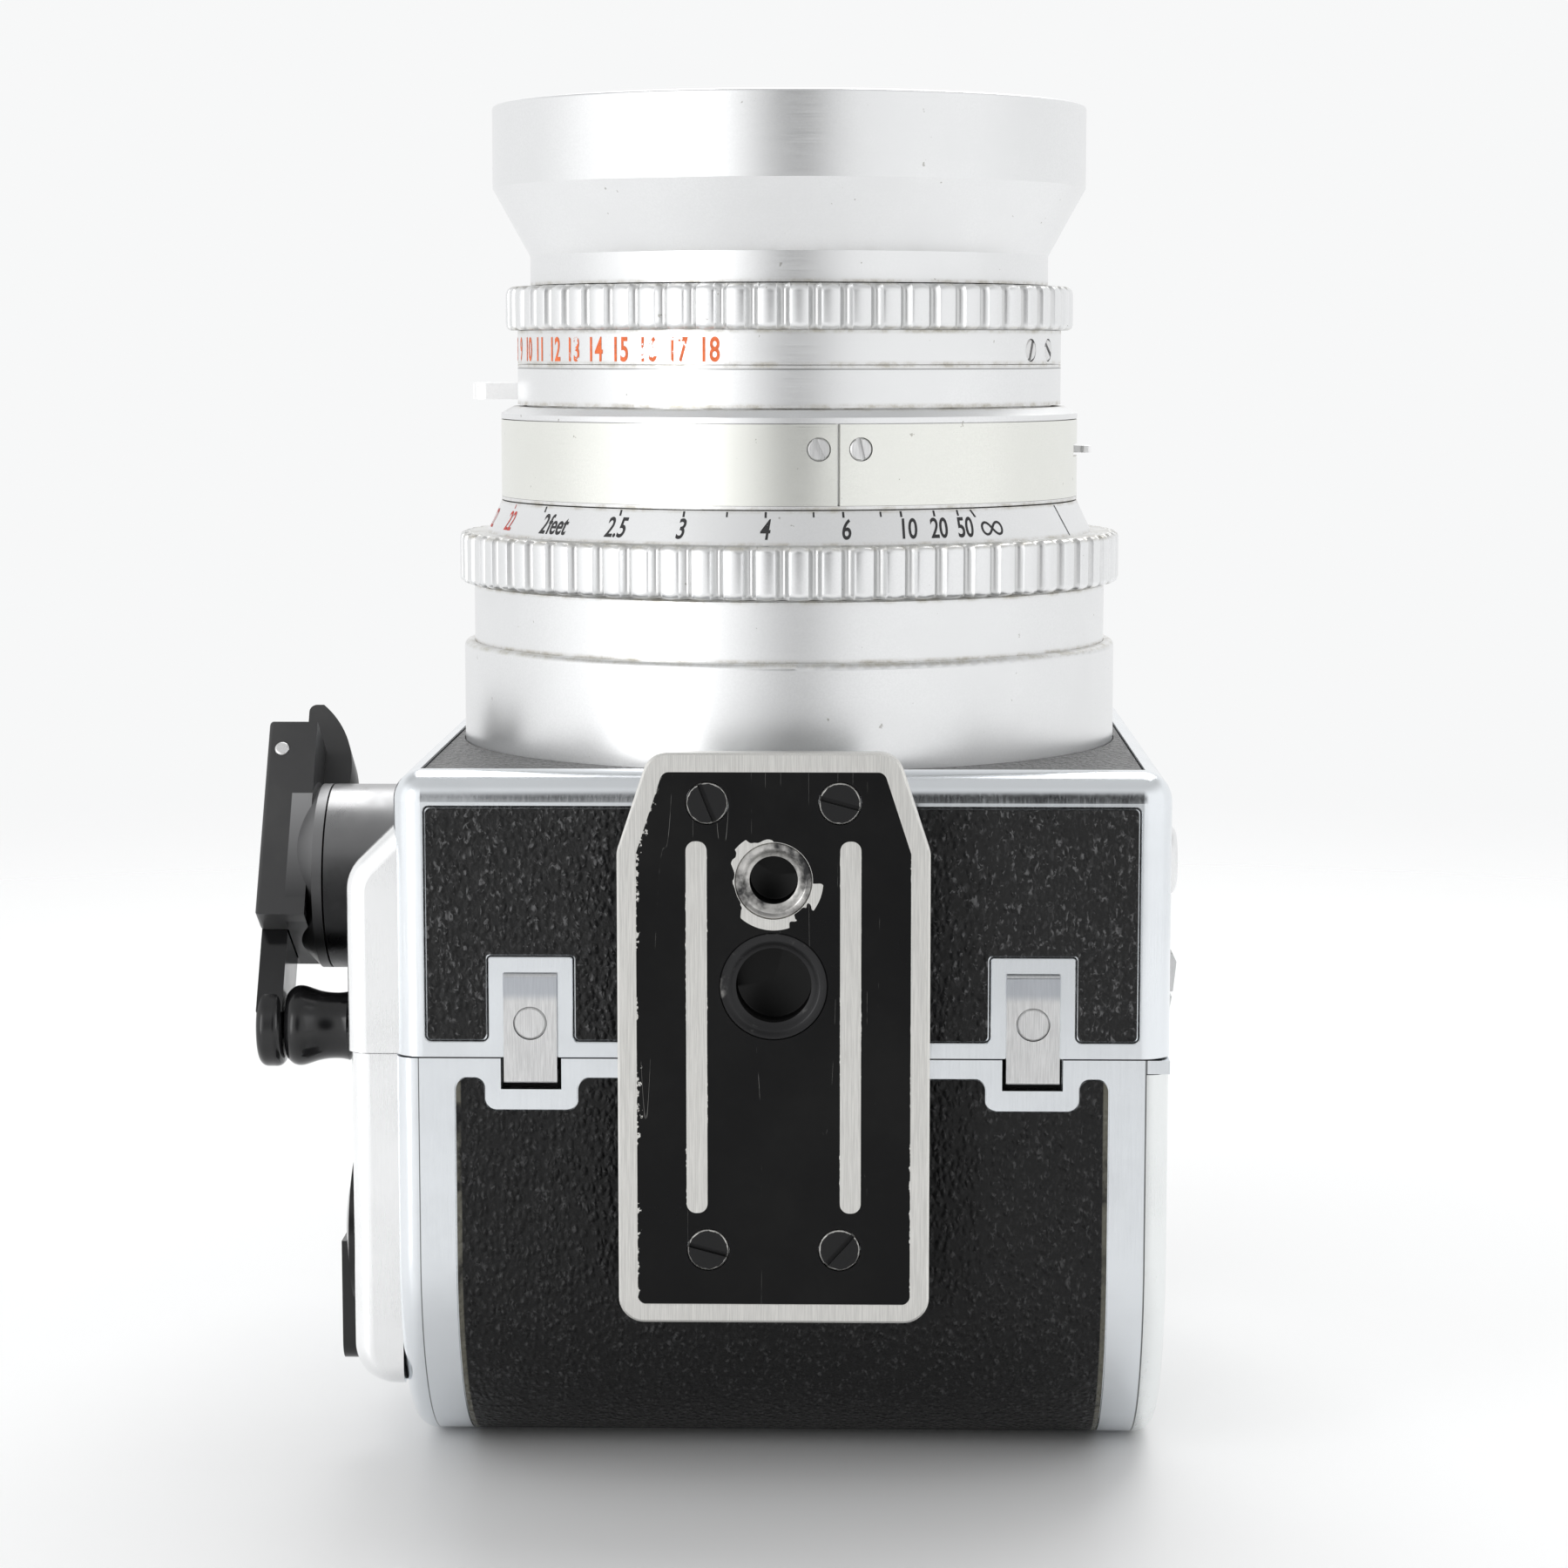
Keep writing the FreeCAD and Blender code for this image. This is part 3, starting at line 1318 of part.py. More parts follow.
def make_top_fittings():
    floor = "body_half_y - leather_thick - leather_dip"
    shoe = body("accessory_shoe")
    drawing = sketch(shoe, "XY_Plane", "shoe_low")
    half = [
        ("shoe_half", floor),
        ("shoe_half", "shoe_top"),
        ("shoe_lip", "shoe_top"),
        ("shoe_lip", "shoe_top - 1.2"),
        ("shoe_slot", "shoe_top - 1.2"),
        ("shoe_slot", "body_half_y + 0.6"),
    ]
    outline(drawing, half + [(f"-({x})", y) for x, y in reversed(half)])
    feature(shoe, "Pad", drawing, "shoe_high - shoe_low")

    finder = body("viewfinder")
    drawing = sketch(finder, "YZ_Plane", "-finder_half")
    profile = [
        ("48.2", "50"),
        ("48.2", "88"),
        ("82", "88"),
        ("82", "60"),
        ("77", "22"),
        ("60", "22"),
        ("52", "46"),
    ]
    outline(drawing, profile)
    feature(finder, "Pad", drawing, "2 * finder_half")
    dress(finder, "Fillet", "2", any_of(pick("x", y="82"), pick("x", y="77"), pick("x", y="60")))
    sides = value("finder_half")
    dress(finder, "Fillet", "1.4", lambda edge: edge_on_side(edge, sides))
    drawing = sketch(finder, "XY_Plane", "88")
    outline(drawing, rectangle("-15.5", "15.5", "51.5", "78.5"))
    feature(finder, "Pocket", drawing, "28")
    drawing = sketch(finder, "XY_Plane", "22")
    circle(drawing, ("0", "68.5"), "6")
    feature(finder, "Pocket", drawing, "40", flip=True)
    drawing = sketch(finder, "XY_Plane", "shoe_low + 0.5")
    foot = [
        ("shoe_slot - 0.2", "body_half_y + 0.75"),
        ("shoe_slot - 0.2", "shoe_top - 1.35"),
        ("shoe_lip - 0.2", "shoe_top - 1.35"),
        ("shoe_lip - 0.2", "49"),
    ]
    outline(drawing, foot + [(f"-({x})", y) for x, y in reversed(foot)])
    feature(finder, "Pad", drawing, "shoe_high - shoe_low - 1")

    front = block(("-15.4", "15.4"), ("51.6", "78.4"), ("81.1", "84.5"))
    eyepiece = rod("z", "5.9", "24", "26.9", "0", "68.5")
    sub_part(group(front, soften(eyepiece, "0.8", pick(z="24"))), "finder_glass")

    button = rod("y", "4.2", "37.5", "47.4", "release_x", "release_z")
    button = soften(button, "0.6", pick(y="47.4"))
    sub_part(cut(button, rod("y", "1.5", "41", "50", "release_x", "release_z")), "release_button")

    collar = rod("y", "6.5", floor, "44.8", "release_x", "release_z")
    collar = soften(collar, "0.4", pick(y="44.8"))
    finger = block(
        ("release_x - 9", "release_x - 5"),
        ("43.1", "44.6"),
        ("release_z - 1.3", "release_z + 1.3"),
    )
    bore = rod("y", "4.3", "40", "50", "release_x", "release_z")
    sub_part(cut(fuse(collar, finger), bore), "release_lock")

    cup = rod("y", "6.4", floor, "45.2", "level_x", "level_z")
    cup = soften(cup, "0.5", pick(y="45.2"), "Part::Chamfer")
    well = rod("y", "4.6", "43.2", "50", "level_x", "level_z")
    sub_part(cut(cup, well), "spirit_level")


def edge_on_side(edge, half):
    """Whether an edge lies in one of the two outer faces at X = +-half."""
    box = edge.BoundBox
    return box.XLength < TINY and abs(abs(box.Center.x) - half) < TINY


# ---------------------------------------------------------------- build, check and write


def check_document():
    doc.recompute()
    for item in doc.Objects:
        if any(state in ("Invalid", "Error") for state in item.State):
            raise RuntimeError(f"{item.Label} did not recompute")
    for item in sub_parts:
        if item.Shape.isNull() or not item.Shape.isValid() or not item.Shape.Solids:
            raise RuntimeError(f"{item.Label} has no valid solid")


make_body_shell()
make_leathers()
make_hooks()
make_tripod_foot()
make_fixed_mount()
make_focusing()
make_shutter_housing()
make_setting_rings()
make_hood()
make_glass()
make_iris()
make_crank()
make_gear_housings()
make_magazine()
make_winder()
make_film_insert()
make_side_fittings()
make_top_fittings()
check_document()

os.makedirs("parts", exist_ok=True)
for item in sub_parts:
    item.Shape.exportStep(f"parts/{item.Label}.step")
print(len(sub_parts), "sub-parts")
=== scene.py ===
"""Looks of a super-wide medium-format camera standing on the back of its film magazine.

Metres, in the CAD model's frame: origin on the lens axis at the magazine's back, +Z the way
the lens looks, -Y the underside (towards the viewer) and -X the winding side.
"""

import json
import math

import bmesh
import bpy
from mathutils import Matrix, Vector

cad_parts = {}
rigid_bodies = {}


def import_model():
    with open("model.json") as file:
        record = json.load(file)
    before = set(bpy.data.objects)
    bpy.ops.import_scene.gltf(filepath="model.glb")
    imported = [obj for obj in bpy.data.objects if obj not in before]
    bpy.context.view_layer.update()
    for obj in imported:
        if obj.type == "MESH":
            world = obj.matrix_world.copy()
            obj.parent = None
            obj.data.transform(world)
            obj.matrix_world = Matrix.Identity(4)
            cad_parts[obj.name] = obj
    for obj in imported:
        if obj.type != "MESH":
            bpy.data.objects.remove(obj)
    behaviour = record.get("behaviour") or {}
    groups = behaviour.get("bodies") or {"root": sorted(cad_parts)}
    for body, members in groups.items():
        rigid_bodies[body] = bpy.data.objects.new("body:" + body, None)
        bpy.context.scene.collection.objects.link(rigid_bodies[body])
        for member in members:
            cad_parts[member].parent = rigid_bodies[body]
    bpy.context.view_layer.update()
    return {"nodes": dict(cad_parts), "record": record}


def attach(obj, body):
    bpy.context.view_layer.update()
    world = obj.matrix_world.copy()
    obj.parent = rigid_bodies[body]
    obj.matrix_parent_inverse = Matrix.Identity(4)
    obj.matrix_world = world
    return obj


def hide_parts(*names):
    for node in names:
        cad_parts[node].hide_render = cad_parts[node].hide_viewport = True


for item in list(bpy.data.objects):
    bpy.data.objects.remove(item)
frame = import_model()

MM = 0.001

# Heights on the lens, in mm: the gaps between its rings, where dirt gathers, and the fine
# groove in its aperture ring.
RING_GAPS = (89.0, 95.7, 101.5, 105.3, 116.25, 120.82, 124.6, 129.7)
RING_GROOVE = 120.35

# Tripod foot: X of its middle line in metres, then heights of its sockets and of the middle
# of its screws, in mm.
PLATE_X = -0.7 * MM
SMALL_SOCKET_Z = 67.2
LARGE_SOCKET_Z = 56.0
SCREWS_Z = 51.55


# ---------------------------------------------------------------- shader building


class Nodes:
    """Short calls that add nodes to one tree."""

    def __init__(self, tree):
        self.tree = tree

    def node(self, kind, inputs=(), **options):
        made = self.tree.nodes.new(kind)
        for key, item in options.items():
            setattr(made, key, item)
        for key, item in dict(inputs).items():
            if isinstance(item, bpy.types.NodeSocket):
                self.tree.links.new(item, made.inputs[key])
            else:
                made.inputs[key].default_value = item
        return made

    def math(self, operation, first, second=0.0):
        inputs = {0: first, 1: second}
        return self.node("ShaderNodeMath", inputs, operation=operation).outputs[0]

    def add(self, first, second):
        return self.math("ADD", first, second)

    def less(self, first, second):
        return self.math("SUBTRACT", first, second)

    def times(self, first, second):
        return self.math("MULTIPLY", first, second)

    def most(self, *masks):
        """Largest of several values."""
        found = masks[0]
        for mask in masks[1:]:
            found = self.math("MAXIMUM", found, mask)
        return found

    def away(self, coordinate, middle):
        return self.math("ABSOLUTE", self.less(coordinate, middle))

    def radius(self, first, second):
        """Distance from the point where both coordinates are zero."""
        squares = self.add(self.times(first, first), self.times(second, second))
        return self.math("SQRT", squares)

    def ramp(self, fac, low, high, start=0.0, end=1.0, curve="SMOOTHSTEP"):
        """fac between low and high, mapped to start and end and held outside."""
        inputs = {"Value": fac, "From Min": low, "From Max": high, "To Min": start, "To Max": end}
        made = self.node("ShaderNodeMapRange", inputs, interpolation_type=curve)
        return made.outputs["Result"]

    def mix(self, fac, first, second):
        made = self.node("ShaderNodeMix", data_type="RGBA")
        for index, item in ((0, fac), (6, first), (7, second)):
            if isinstance(item, bpy.types.NodeSocket):
                self.tree.links.new(item, made.inputs[index])
            else:
                made.inputs[index].default_value = (*item, 1.0)
        return made.outputs[2]

    def blend(self, fac, first, second):
        """Number mixed from first to second."""
        made = self.node("ShaderNodeMix", {0: fac, 2: first, 3: second}, data_type="FLOAT")
        return made.outputs[0]

    def band(self, coordinate, middle, half, soft):
        """1 within half of middle, falling to 0 over soft."""
        return self.ramp(self.away(coordinate, middle), half, half + soft, 1.0, 0.0)


class Shader(Nodes):
    """One Principled material, placed by object coordinates."""

    def __init__(self, name, color, metallic=0.0, roughness=0.5, **fixed):
        self.material = bpy.data.materials.new(name)
        self.material.use_nodes = True
        super().__init__(self.material.node_tree)
        self.bsdf = next(n for n in self.tree.nodes if n.type == "BSDF_PRINCIPLED")
        self.set("Base Color", (*color, 1.0))
        self.set("Metallic", metallic)
        self.set("Roughness", roughness)
        for key, item in fixed.items():
            self.set(key.replace("_", " "), item)
        self.place = self.node("ShaderNodeTexCoord").outputs["Object"]
        self.x, self.y, self.z = self.node("ShaderNodeSeparateXYZ", {0: self.place}).outputs

    def set(self, key, item):
        socket = self.bsdf.inputs[key]
        if isinstance(item, bpy.types.NodeSocket):
            self.tree.links.new(item, socket)
        else:
            socket.default_value = item

    def feed(self, key):
        """Socket that an input of the shader is linked from."""
        return self.bsdf.inputs[key].links[0].from_socket

    def stretched(self, scale):
        return self.node("ShaderNodeMapping", {"Vector": self.place, "Scale": scale}).outputs[0]

    def noise(self, scale, detail=4.0, roughness=0.55, stretch=None, distortion=0.0):
        inputs = {
            "Vector": self.stretched(stretch) if stretch else self.place,
            "Scale": scale,
            "Detail": detail,
            "Roughness": roughness,
            "Distortion": distortion,
        }
        return self.node("ShaderNodeTexNoise", inputs).outputs["Fac"]

    def bump(self, height, strength, distance):
        inputs = {"Height": height, "Strength": strength, "Distance": distance}
        self.set("Normal", self.node("ShaderNodeBump", inputs).outputs[0])


def grey(level):
    return (level, level, level)


def darker(color, share):
    return tuple(share * channel for channel in color)


# ---------------------------------------------------------------- materials

GRIME = (0.30, 0.26, 0.16)
DARK_GREY = (0.036, 0.036, 0.037)
TURNED = (150, 150, 16000)
MATT = (3000, 3000, 3000)


def satin_metal(
    name, color=(0.86, 0.865, 0.87), roughness=0.33, dirt=0.6, turned=True, flutes=None
):
    """Anodised aluminium: fine turning, cloudy handling marks, dirt in the ring gaps.

    flutes is the outside radius of a fluted ring; its grooves get a darker colour, painted shade."""
    shader = Shader(name, color, metallic=1.0, roughness=roughness)
    fine = shader.noise(1.0, 3.0, 0.6, stretch=TURNED if turned else MATT)
    grain = shader.noise(4200.0, 2.0, 0.6)
    cloud = shader.noise(55.0, 5.0, 0.6)
    spots = shader.noise(420.0, 5.0, 0.7)
    base = shader.mix(shader.ramp(cloud, 0.35, 0.75), color, darker(color, 0.94))
    base = shader.mix(shader.ramp(grain, 0.3, 0.7), base, darker(color, 0.95))
    gaps = [shader.band(shader.z, gap * MM, 0.10 * MM, 0.45 * MM) for gap in RING_GAPS]
    mask = shader.times(shader.most(*gaps), shader.ramp(spots, 0.38, 0.72, 0.15, 1.0))
    base = shader.mix(shader.times(mask, dirt), base, GRIME)
    line = shader.band(shader.z, RING_GROOVE * MM, 0.035 * MM, 0.03 * MM)
    base = shader.mix(shader.times(line, 0.75), base, grey(0.12))
    if flutes:
        # Painted shade: the flutes' grooves are painted darker the deeper they lie.
        depth = shader.less(flutes * MM, shader.radius(shader.x, shader.y))
        groove_shade = shader.ramp(depth, 0.3 * MM, 0.7 * MM)
        base = shader.mix(shader.times(groove_shade, 0.4), base, (0.40, 0.40, 0.39))
    speck = shader.ramp(shader.noise(900.0, 3.0, 0.5), 0.735, 0.76)
    base = shader.mix(shader.times(speck, 0.5), base, (0.2, 0.18, 0.14))
    shader.set("Base Color", base)
    shader.set("Metallic", shader.blend(shader.times(mask, dirt), 1.0, 0.2))
    wear = shader.add(fine, shader.times(cloud, 0.6))
    shader.set("Roughness", shader.ramp(wear, 0.4, 1.2, roughness - 0.05, roughness + 0.08))
    shader.bump(shader.add(fine, shader.times(grain, 0.8)), 0.16, 0.01 * MM)
    return shader


def polished_metal(name, color=(0.83, 0.86, 0.89), roughness=0.15, seams=()):
    """Polished aluminium with faint brushing and hairline scratches; seams are lines at |X|."""
    shader = Shader(name, color, metallic=1.0, roughness=roughness)
    brushed = shader.noise(1.0, 4.0, 0.7, stretch=(5000, 5000, 240))
    cloud = shader.noise(70.0, 4.0, 0.6)
    scratch = shader.noise(1.0, 2.0, 0.5, stretch=(900, 900, 26000), distortion=0.3)
    wear = shader.times(shader.add(brushed, cloud), 0.5)
    base = shader.mix(shader.ramp(cloud, 0.4, 0.8), color, darker(color, 0.93))
    for seam in seams:
        line = shader.band(shader.away(shader.x, 0.0), seam * MM, 0.09 * MM, 0.06 * MM)
        base = shader.mix(shader.times(line, 0.85), base, grey(0.10))
    shader.set("Base Color", base)
    shader.set("Roughness", shader.ramp(wear, 0.3, 0.7, roughness - 0.04, roughness + 0.12))
    lines = shader.times(shader.ramp(scratch, 0.68, 0.74), 0.7)
    shader.bump(shader.add(brushed, lines), 0.10, 0.01 * MM)
    return shader


def brushed_metal(name, color=grey(0.83), roughness=0.34, grain=(9000, 9000, 350), dim=0.82):
    """Brushed metal whose darker lines have the share dim of its colour."""
    shader = Shader(name, color, metallic=1.0, roughness=roughness)
    lines = shader.noise(1.0, 4.0, 0.65, stretch=grain)
    cloud = shader.noise(80.0, 4.0, 0.6)
    base = shader.mix(shader.ramp(lines, 0.35, 0.7), darker(color, dim), color)
    shader.set("Base Color", base)
    shader.set("Roughness", shader.ramp(cloud, 0.3, 0.7, roughness - 0.06, roughness + 0.1))
    shader.bump(lines, 0.3, 0.01 * MM)
    return shader


def hood_metal(name):
    """Satin aluminium outside and flat black paint inside."""
    throat, flare_start, flare_length, flare = 29.0 * MM, 133.1 * MM, 7.7 * MM, 0.552
    shader = satin_metal(name)
    rise = shader.most(shader.less(shader.z, flare_start), 0.0)
    wall = shader.add(shader.times(shader.math("MINIMUM", rise, flare_length), flare), throat)
    inside = shader.ramp(shader.less(wall, shader.radius(shader.x, shader.y)), 0.0, 0.05 * MM)
    shader.set("Base Color", shader.mix(inside, shader.feed("Base Color"), grey(0.012)))
    for key, flat in (("Metallic", 0.0), ("Roughness", 0.7)):
        shader.set(key, shader.blend(inside, shader.feed(key), flat))
    return shader


def hook_metal(name):
    """Brushed steel with a painted reflection: bluish and darker where the hook bends at its top."""
    shader = brushed_metal(name, grey(0.84), dim=0.7857)
    # Painted reflection: the band along the bend is tinted bluish dark, as if reflecting the
    # surroundings.
    bend = shader.ramp(shader.z, 53.2 * MM, 54.4 * MM)
    bend = shader.times(bend, shader.ramp(shader.z, 56.3 * MM, 55.9 * MM))
    bend_reflection = shader.mix(shader.times(bend, 0.7), shader.feed("Base Color"), (0.42, 0.45, 0.50))
    shader.set("Base Color", bend_reflection)
    return shader


def painted(name, color=(0.006, 0.006, 0.0065), roughness=0.34, grain=0.12, shine=0.3):
    """Paint or plastic with faint cloudiness and an orange-peel skin."""
    shader = Shader(name, color, roughness=roughness, Specular_IOR_Level=shine)
    cloud = shader.noise(90.0, 5.0, 0.6)
    fine = shader.noise(3500.0, 2.0, 0.5)
    worn = tuple(1.5 * channel + 0.003 for channel in color)
    shader.set("Base Color", shader.mix(shader.ramp(cloud, 0.4, 0.75), color, worn))
    low = max(roughness - 0.05, 0.03)
    shader.set("Roughness", shader.ramp(cloud, 0.3, 0.7, low, roughness + 0.1))
    shader.bump(fine, grain, 0.01 * MM)
    return shader


def blackened(name):
    """Blackened metal with faint random blotches, painted lighter towards its upper side: a painted
    highlight where light falls from above.
    """
    shader = Shader(name, grey(0.05), metallic=1.0, roughness=0.3)
    cloud = shader.noise(260.0, 4.0, 0.6)
    blotch = shader.times(shader.less(cloud, 0.5), 0.1)
    # Painted highlight: the colour lightens towards the top, where light falls.
    up = shader.add(shader.ramp(shader.z, 61.0 * MM, 76.0 * MM), blotch)
    shader.set("Base Color", shader.mix(up, (0.03, 0.03, 0.031), (0.4, 0.4, 0.405)))
    shader.set("Roughness", shader.ramp(cloud, 0.3, 0.7, 0.26, 0.4))
    return shader


def crank_paint(name):
    """Dark grey paint on the arm; its disc is bare dark anodised metal, painted lighter towards the
    top as a painted highlight.
    """
    disc_end, crank_y, crank_z, disc_radius = -55.9, -14.0 * MM, 62.7 * MM, 10.65
    shader = painted(name, DARK_GREY, 0.38, 0.2, 0.35)
    bare = shader.ramp(shader.x, (disc_end - 0.05) * MM, (disc_end + 0.05) * MM)
    out = shader.radius(shader.less(shader.y, crank_y), shader.less(shader.z, crank_z))
    within = shader.ramp(out, (disc_radius - 0.05) * MM, (disc_radius + 0.05) * MM, 1.0, 0.0)
    bare = shader.times(bare, within)
    # Painted highlight: the bare disc is painted lighter towards the top, where light falls.
    up = shader.ramp(shader.z, 58.0 * MM, 76.0 * MM)
    disc = shader.mix(up, (0.035, 0.035, 0.036), (0.35, 0.35, 0.355))
    cloud = shader.noise(120.0, 4.0, 0.6)
    paint = shader.mix(shader.ramp(cloud, 0.4, 0.7), (0.042, 0.042, 0.043), grey(0.052))
    shader.set("Base Color", shader.mix(bare, paint, disc))
    shader.set("Metallic", bare)
    return shader


def leather(name, rim=False, shine=0.3, worn=0.0, crown_highlight=0.10):
    """Black pebble-grain leatherette with painted highlights on its pebbles' crowns; worn adds
    painted sheen; rim adds the dried glue along the magazine's edges.
    """
    color = (0.005, 0.005, 0.0052)
    shader = Shader(name, color, roughness=0.4, Specular_IOR_Level=shine)
    bend = shader.node("ShaderNodeTexNoise", {"Vector": shader.place, "Scale": 650.0, "Detail": 2.0})
    bent = {0: bend.outputs["Color"], 1: (0.6 * MM,) * 3, 2: shader.place}
    bent = shader.node("ShaderNodeVectorMath", bent, operation="MULTIPLY_ADD").outputs[0]
    place = {"Vector": bent, "Scale": (1.3, 1.0, 0.85)}
    cells = {"Vector": shader.node("ShaderNodeMapping", place).outputs[0], "Scale": 1180.0}
    cells = shader.node("ShaderNodeTexVoronoi", cells, feature="F1").outputs["Distance"]
    fine = shader.noise(4200.0, 4.0, 0.65)
    broad = shader.noise(330.0, 3.0, 0.5)
    pebble = shader.ramp(cells, 0.05, 0.72, 1.0, 0.0)
    pebble = shader.times(pebble, shader.ramp(broad, 0.3, 0.6, 0.55, 1.0))
    height = shader.add(pebble, shader.times(fine, 0.35))
    strokes = shader.noise(1.0, 2.5, 0.6, stretch=(2100, 1500, 1250), distortion=0.8)
    # Painted highlight: the pebbles' crowns are painted pale where light would catch them.
    crown = shader.ramp(cells, 0.3, 0.62, 1.0, 0.15)
    crown = shader.times(shader.ramp(strokes, 0.53, 0.63), crown)
    painted_sheen = crown_highlight + worn
    base = shader.mix(crown, color, (painted_sheen, painted_sheen, 1.02 * painted_sheen))
    # Painted sheen: worn lightens the leather in broad patches, standing in for light glancing off
    # it.
    if worn:
        base = shader.mix(shader.ramp(broad, 0.2, 0.7, 0.3, 0.8), base, grey(worn))
    rough = shader.ramp(fine, 0.35, 0.65, 0.30, 0.5)
    if rim:
        glue = shader.ramp(shader.away(shader.x, 0.0), 34.35 * MM, 34.5 * MM)
        glue = shader.times(glue, shader.ramp(shader.noise(160.0, 4.0, 0.6), 0.36, 0.52))
        base = shader.mix(shader.times(glue, 0.85), base, (0.13, 0.125, 0.10))
        rough = shader.blend(glue, rough, 0.15)
    shader.set("Base Color", base)
    shader.set("Roughness", rough)
    shader.bump(height, 1.0, 0.26 * MM)
    return shader


def lacquered_plate(name):
    """Black lacquer chipped to bare brushed metal at its edges and round the small socket."""
    bare = (0.83, 0.82, 0.79)
    half_width, taper_start, taper, border = 16.45 * MM, 70.3 * MM, 0.3317, 2.02 * MM
    middle, half_height = 50.25 * MM, 28.4 * MM
    strip_x, strip_half_width, strip_half_height = 8.1 * MM, 1.1 * MM, 18.75 * MM
    socket_rim, raised_face = 4.12 * MM, -48.565 * MM
    shader = Shader(name, (0.004, 0.004, 0.0042), roughness=0.3, Specular_IOR_Level=0.16)

    def within(distance):
        """1 where a distance is below zero, with a crisp edge."""
        return shader.ramp(distance, -0.02 * MM, 0.02 * MM, 1.0, 0.0)

    across = shader.away(shader.x, PLATE_X)
    narrowed = shader.times(shader.most(shader.less(shader.z, taper_start), 0.0), taper)
    outer = shader.less(shader.less(half_width, narrowed), across)
    ragged = shader.noise(1500.0, 5.0, 0.65)
    patches = shader.noise(170.0, 3.0, 0.6)
    side_wear = shader.ramp(shader.x, -14.0 * MM, -6.0 * MM, 1.0, 0.25)
    bite = shader.times(shader.ramp(ragged, 0.45, 0.7), shader.ramp(patches, 0.46, 0.6))
    bite = shader.times(bite, side_wear)
    nibble = within(shader.less(shader.less(outer, border), shader.times(bite, 0.7 * MM)))
    up = shader.less(shader.away(shader.z, SCREWS_Z * MM), strip_half_height)
    strip = shader.radius(shader.less(across, strip_x), shader.most(up, 0.0))
    strip = shader.less(strip, strip_half_width)
    flake = within(shader.less(strip, shader.times(bite, 0.25 * MM)))
    edge = shader.less(shader.away(shader.z, middle), half_height)
    edge = shader.ramp(edge, 0.0, 0.05 * MM)
    beside = shader.less(shader.x, PLATE_X)
    ring = shader.radius(beside, shader.less(shader.z, SMALL_SOCKET_Z * MM))
    broad = shader.noise(300.0, 2.0, 0.45)
    reach = shader.times(shader.ramp(broad, 0.46, 0.6), 1.1 * MM)
    worn = within(shader.less(ring, shader.add(socket_rim, reach)))
    raised = shader.ramp(shader.y, raised_face - 0.01 * MM, raised_face + 0.01 * MM, 1.0, 0.0)
    side = shader.ramp(outer, 0.05 * MM, 0.12 * MM, 1.0, 0.0)
    scratch = shader.band(shader.noise(1.0, 0.0, 0.4, stretch=(330, 330, 14)), 0.5, 0.0005, 0.0007)
    scratch = shader.times(scratch, shader.ramp(patches, 0.54, 0.62))
    mask = shader.most(raised, side, nibble, flake, edge, worn, shader.times(scratch, 0.35))
    lines = shader.noise(1.0, 4.0, 0.65, stretch=(11000, 11000, 260))
    silver = shader.mix(shader.ramp(lines, 0.3, 0.7), darker(bare, 0.80), bare)
    cloud = shader.noise(70.0, 5.0, 0.6)
    lacquer = shader.mix(shader.ramp(cloud, 0.4, 0.75), (0.0035, 0.0035, 0.0038), grey(0.007))
    shader.set("Base Color", shader.mix(mask, lacquer, silver))
    shader.set("Metallic", mask)
    shader.set("Roughness", shader.blend(mask, shader.ramp(cloud, 0.3, 0.7, 0.26, 0.4), 0.36))
    brushing = shader.times(lines, shader.times(mask, 0.4))
    shader.bump(shader.add(brushing, shader.times(mask, 2.0)), 0.5, 0.02 * MM)
    return shader


def plate_screw_metal(name):
    """Blackened screws whose rims are rubbed bright."""
    shader = Shader(name, (0.008, 0.008, 0.0085), roughness=0.36, Specular_IOR_Level=0.25)
    screw_x, screw_z = 6.95 * MM, 23.85 * MM
    across = shader.less(shader.away(shader.x, PLATE_X), screw_x)
    up = shader.less(shader.away(shader.z, SCREWS_Z * MM), screw_z)
    out = shader.radius(across, up)
    ragged = shader.noise(1300.0, 4.0, 0.6)
    rim = shader.ramp(shader.add(out, shader.times(ragged, 0.3 * MM)), 2.16 * MM, 2.26 * MM)
    rim = shader.times(rim, shader.ramp(shader.y, -48.0 * MM, -48.2 * MM))
    lines = shader.noise(1.0, 3.0, 0.6, stretch=(6000, 6000, 900))
    shader.set("Base Color", shader.mix(rim, (0.010, 0.010, 0.0105), (0.78, 0.77, 0.74)))
    shader.set("Metallic", rim)
    shader.bump(lines, 0.25, 0.01 * MM)
    return shader


def thread_metal(name, low, high):
    """Blackened steel, its rim rubbed bright in patches where noise goes from low to high; deeper in
    the bore it is painted near black, as painted shade.
    """
    shader = Shader(name, (0.03, 0.03, 0.031), roughness=0.28, Specular_IOR_Level=0.2)
    cloud = shader.noise(300.0, 4.0, 0.6)
    rim = shader.ramp(shader.y, -47.9 * MM, -47.2 * MM, 1.0, 0.0)
    patch = shader.times(shader.ramp(cloud, low, high), rim)
    # Painted shade: deeper in the bore the colour falls to near black and the metal looks less
    # metallic.
    painted_shade = shader.mix(rim, grey(0.003), (0.03, 0.03, 0.031))
    shader.set("Base Color", shader.mix(patch, painted_shade, (0.6, 0.59, 0.57)))
    shader.set("Metallic", shader.blend(patch, shader.times(rim, 0.6), 1.0))
    shader.bump(shader.noise(2500.0, 3.0, 0.6), 0.2, 0.01 * MM)
    return shader


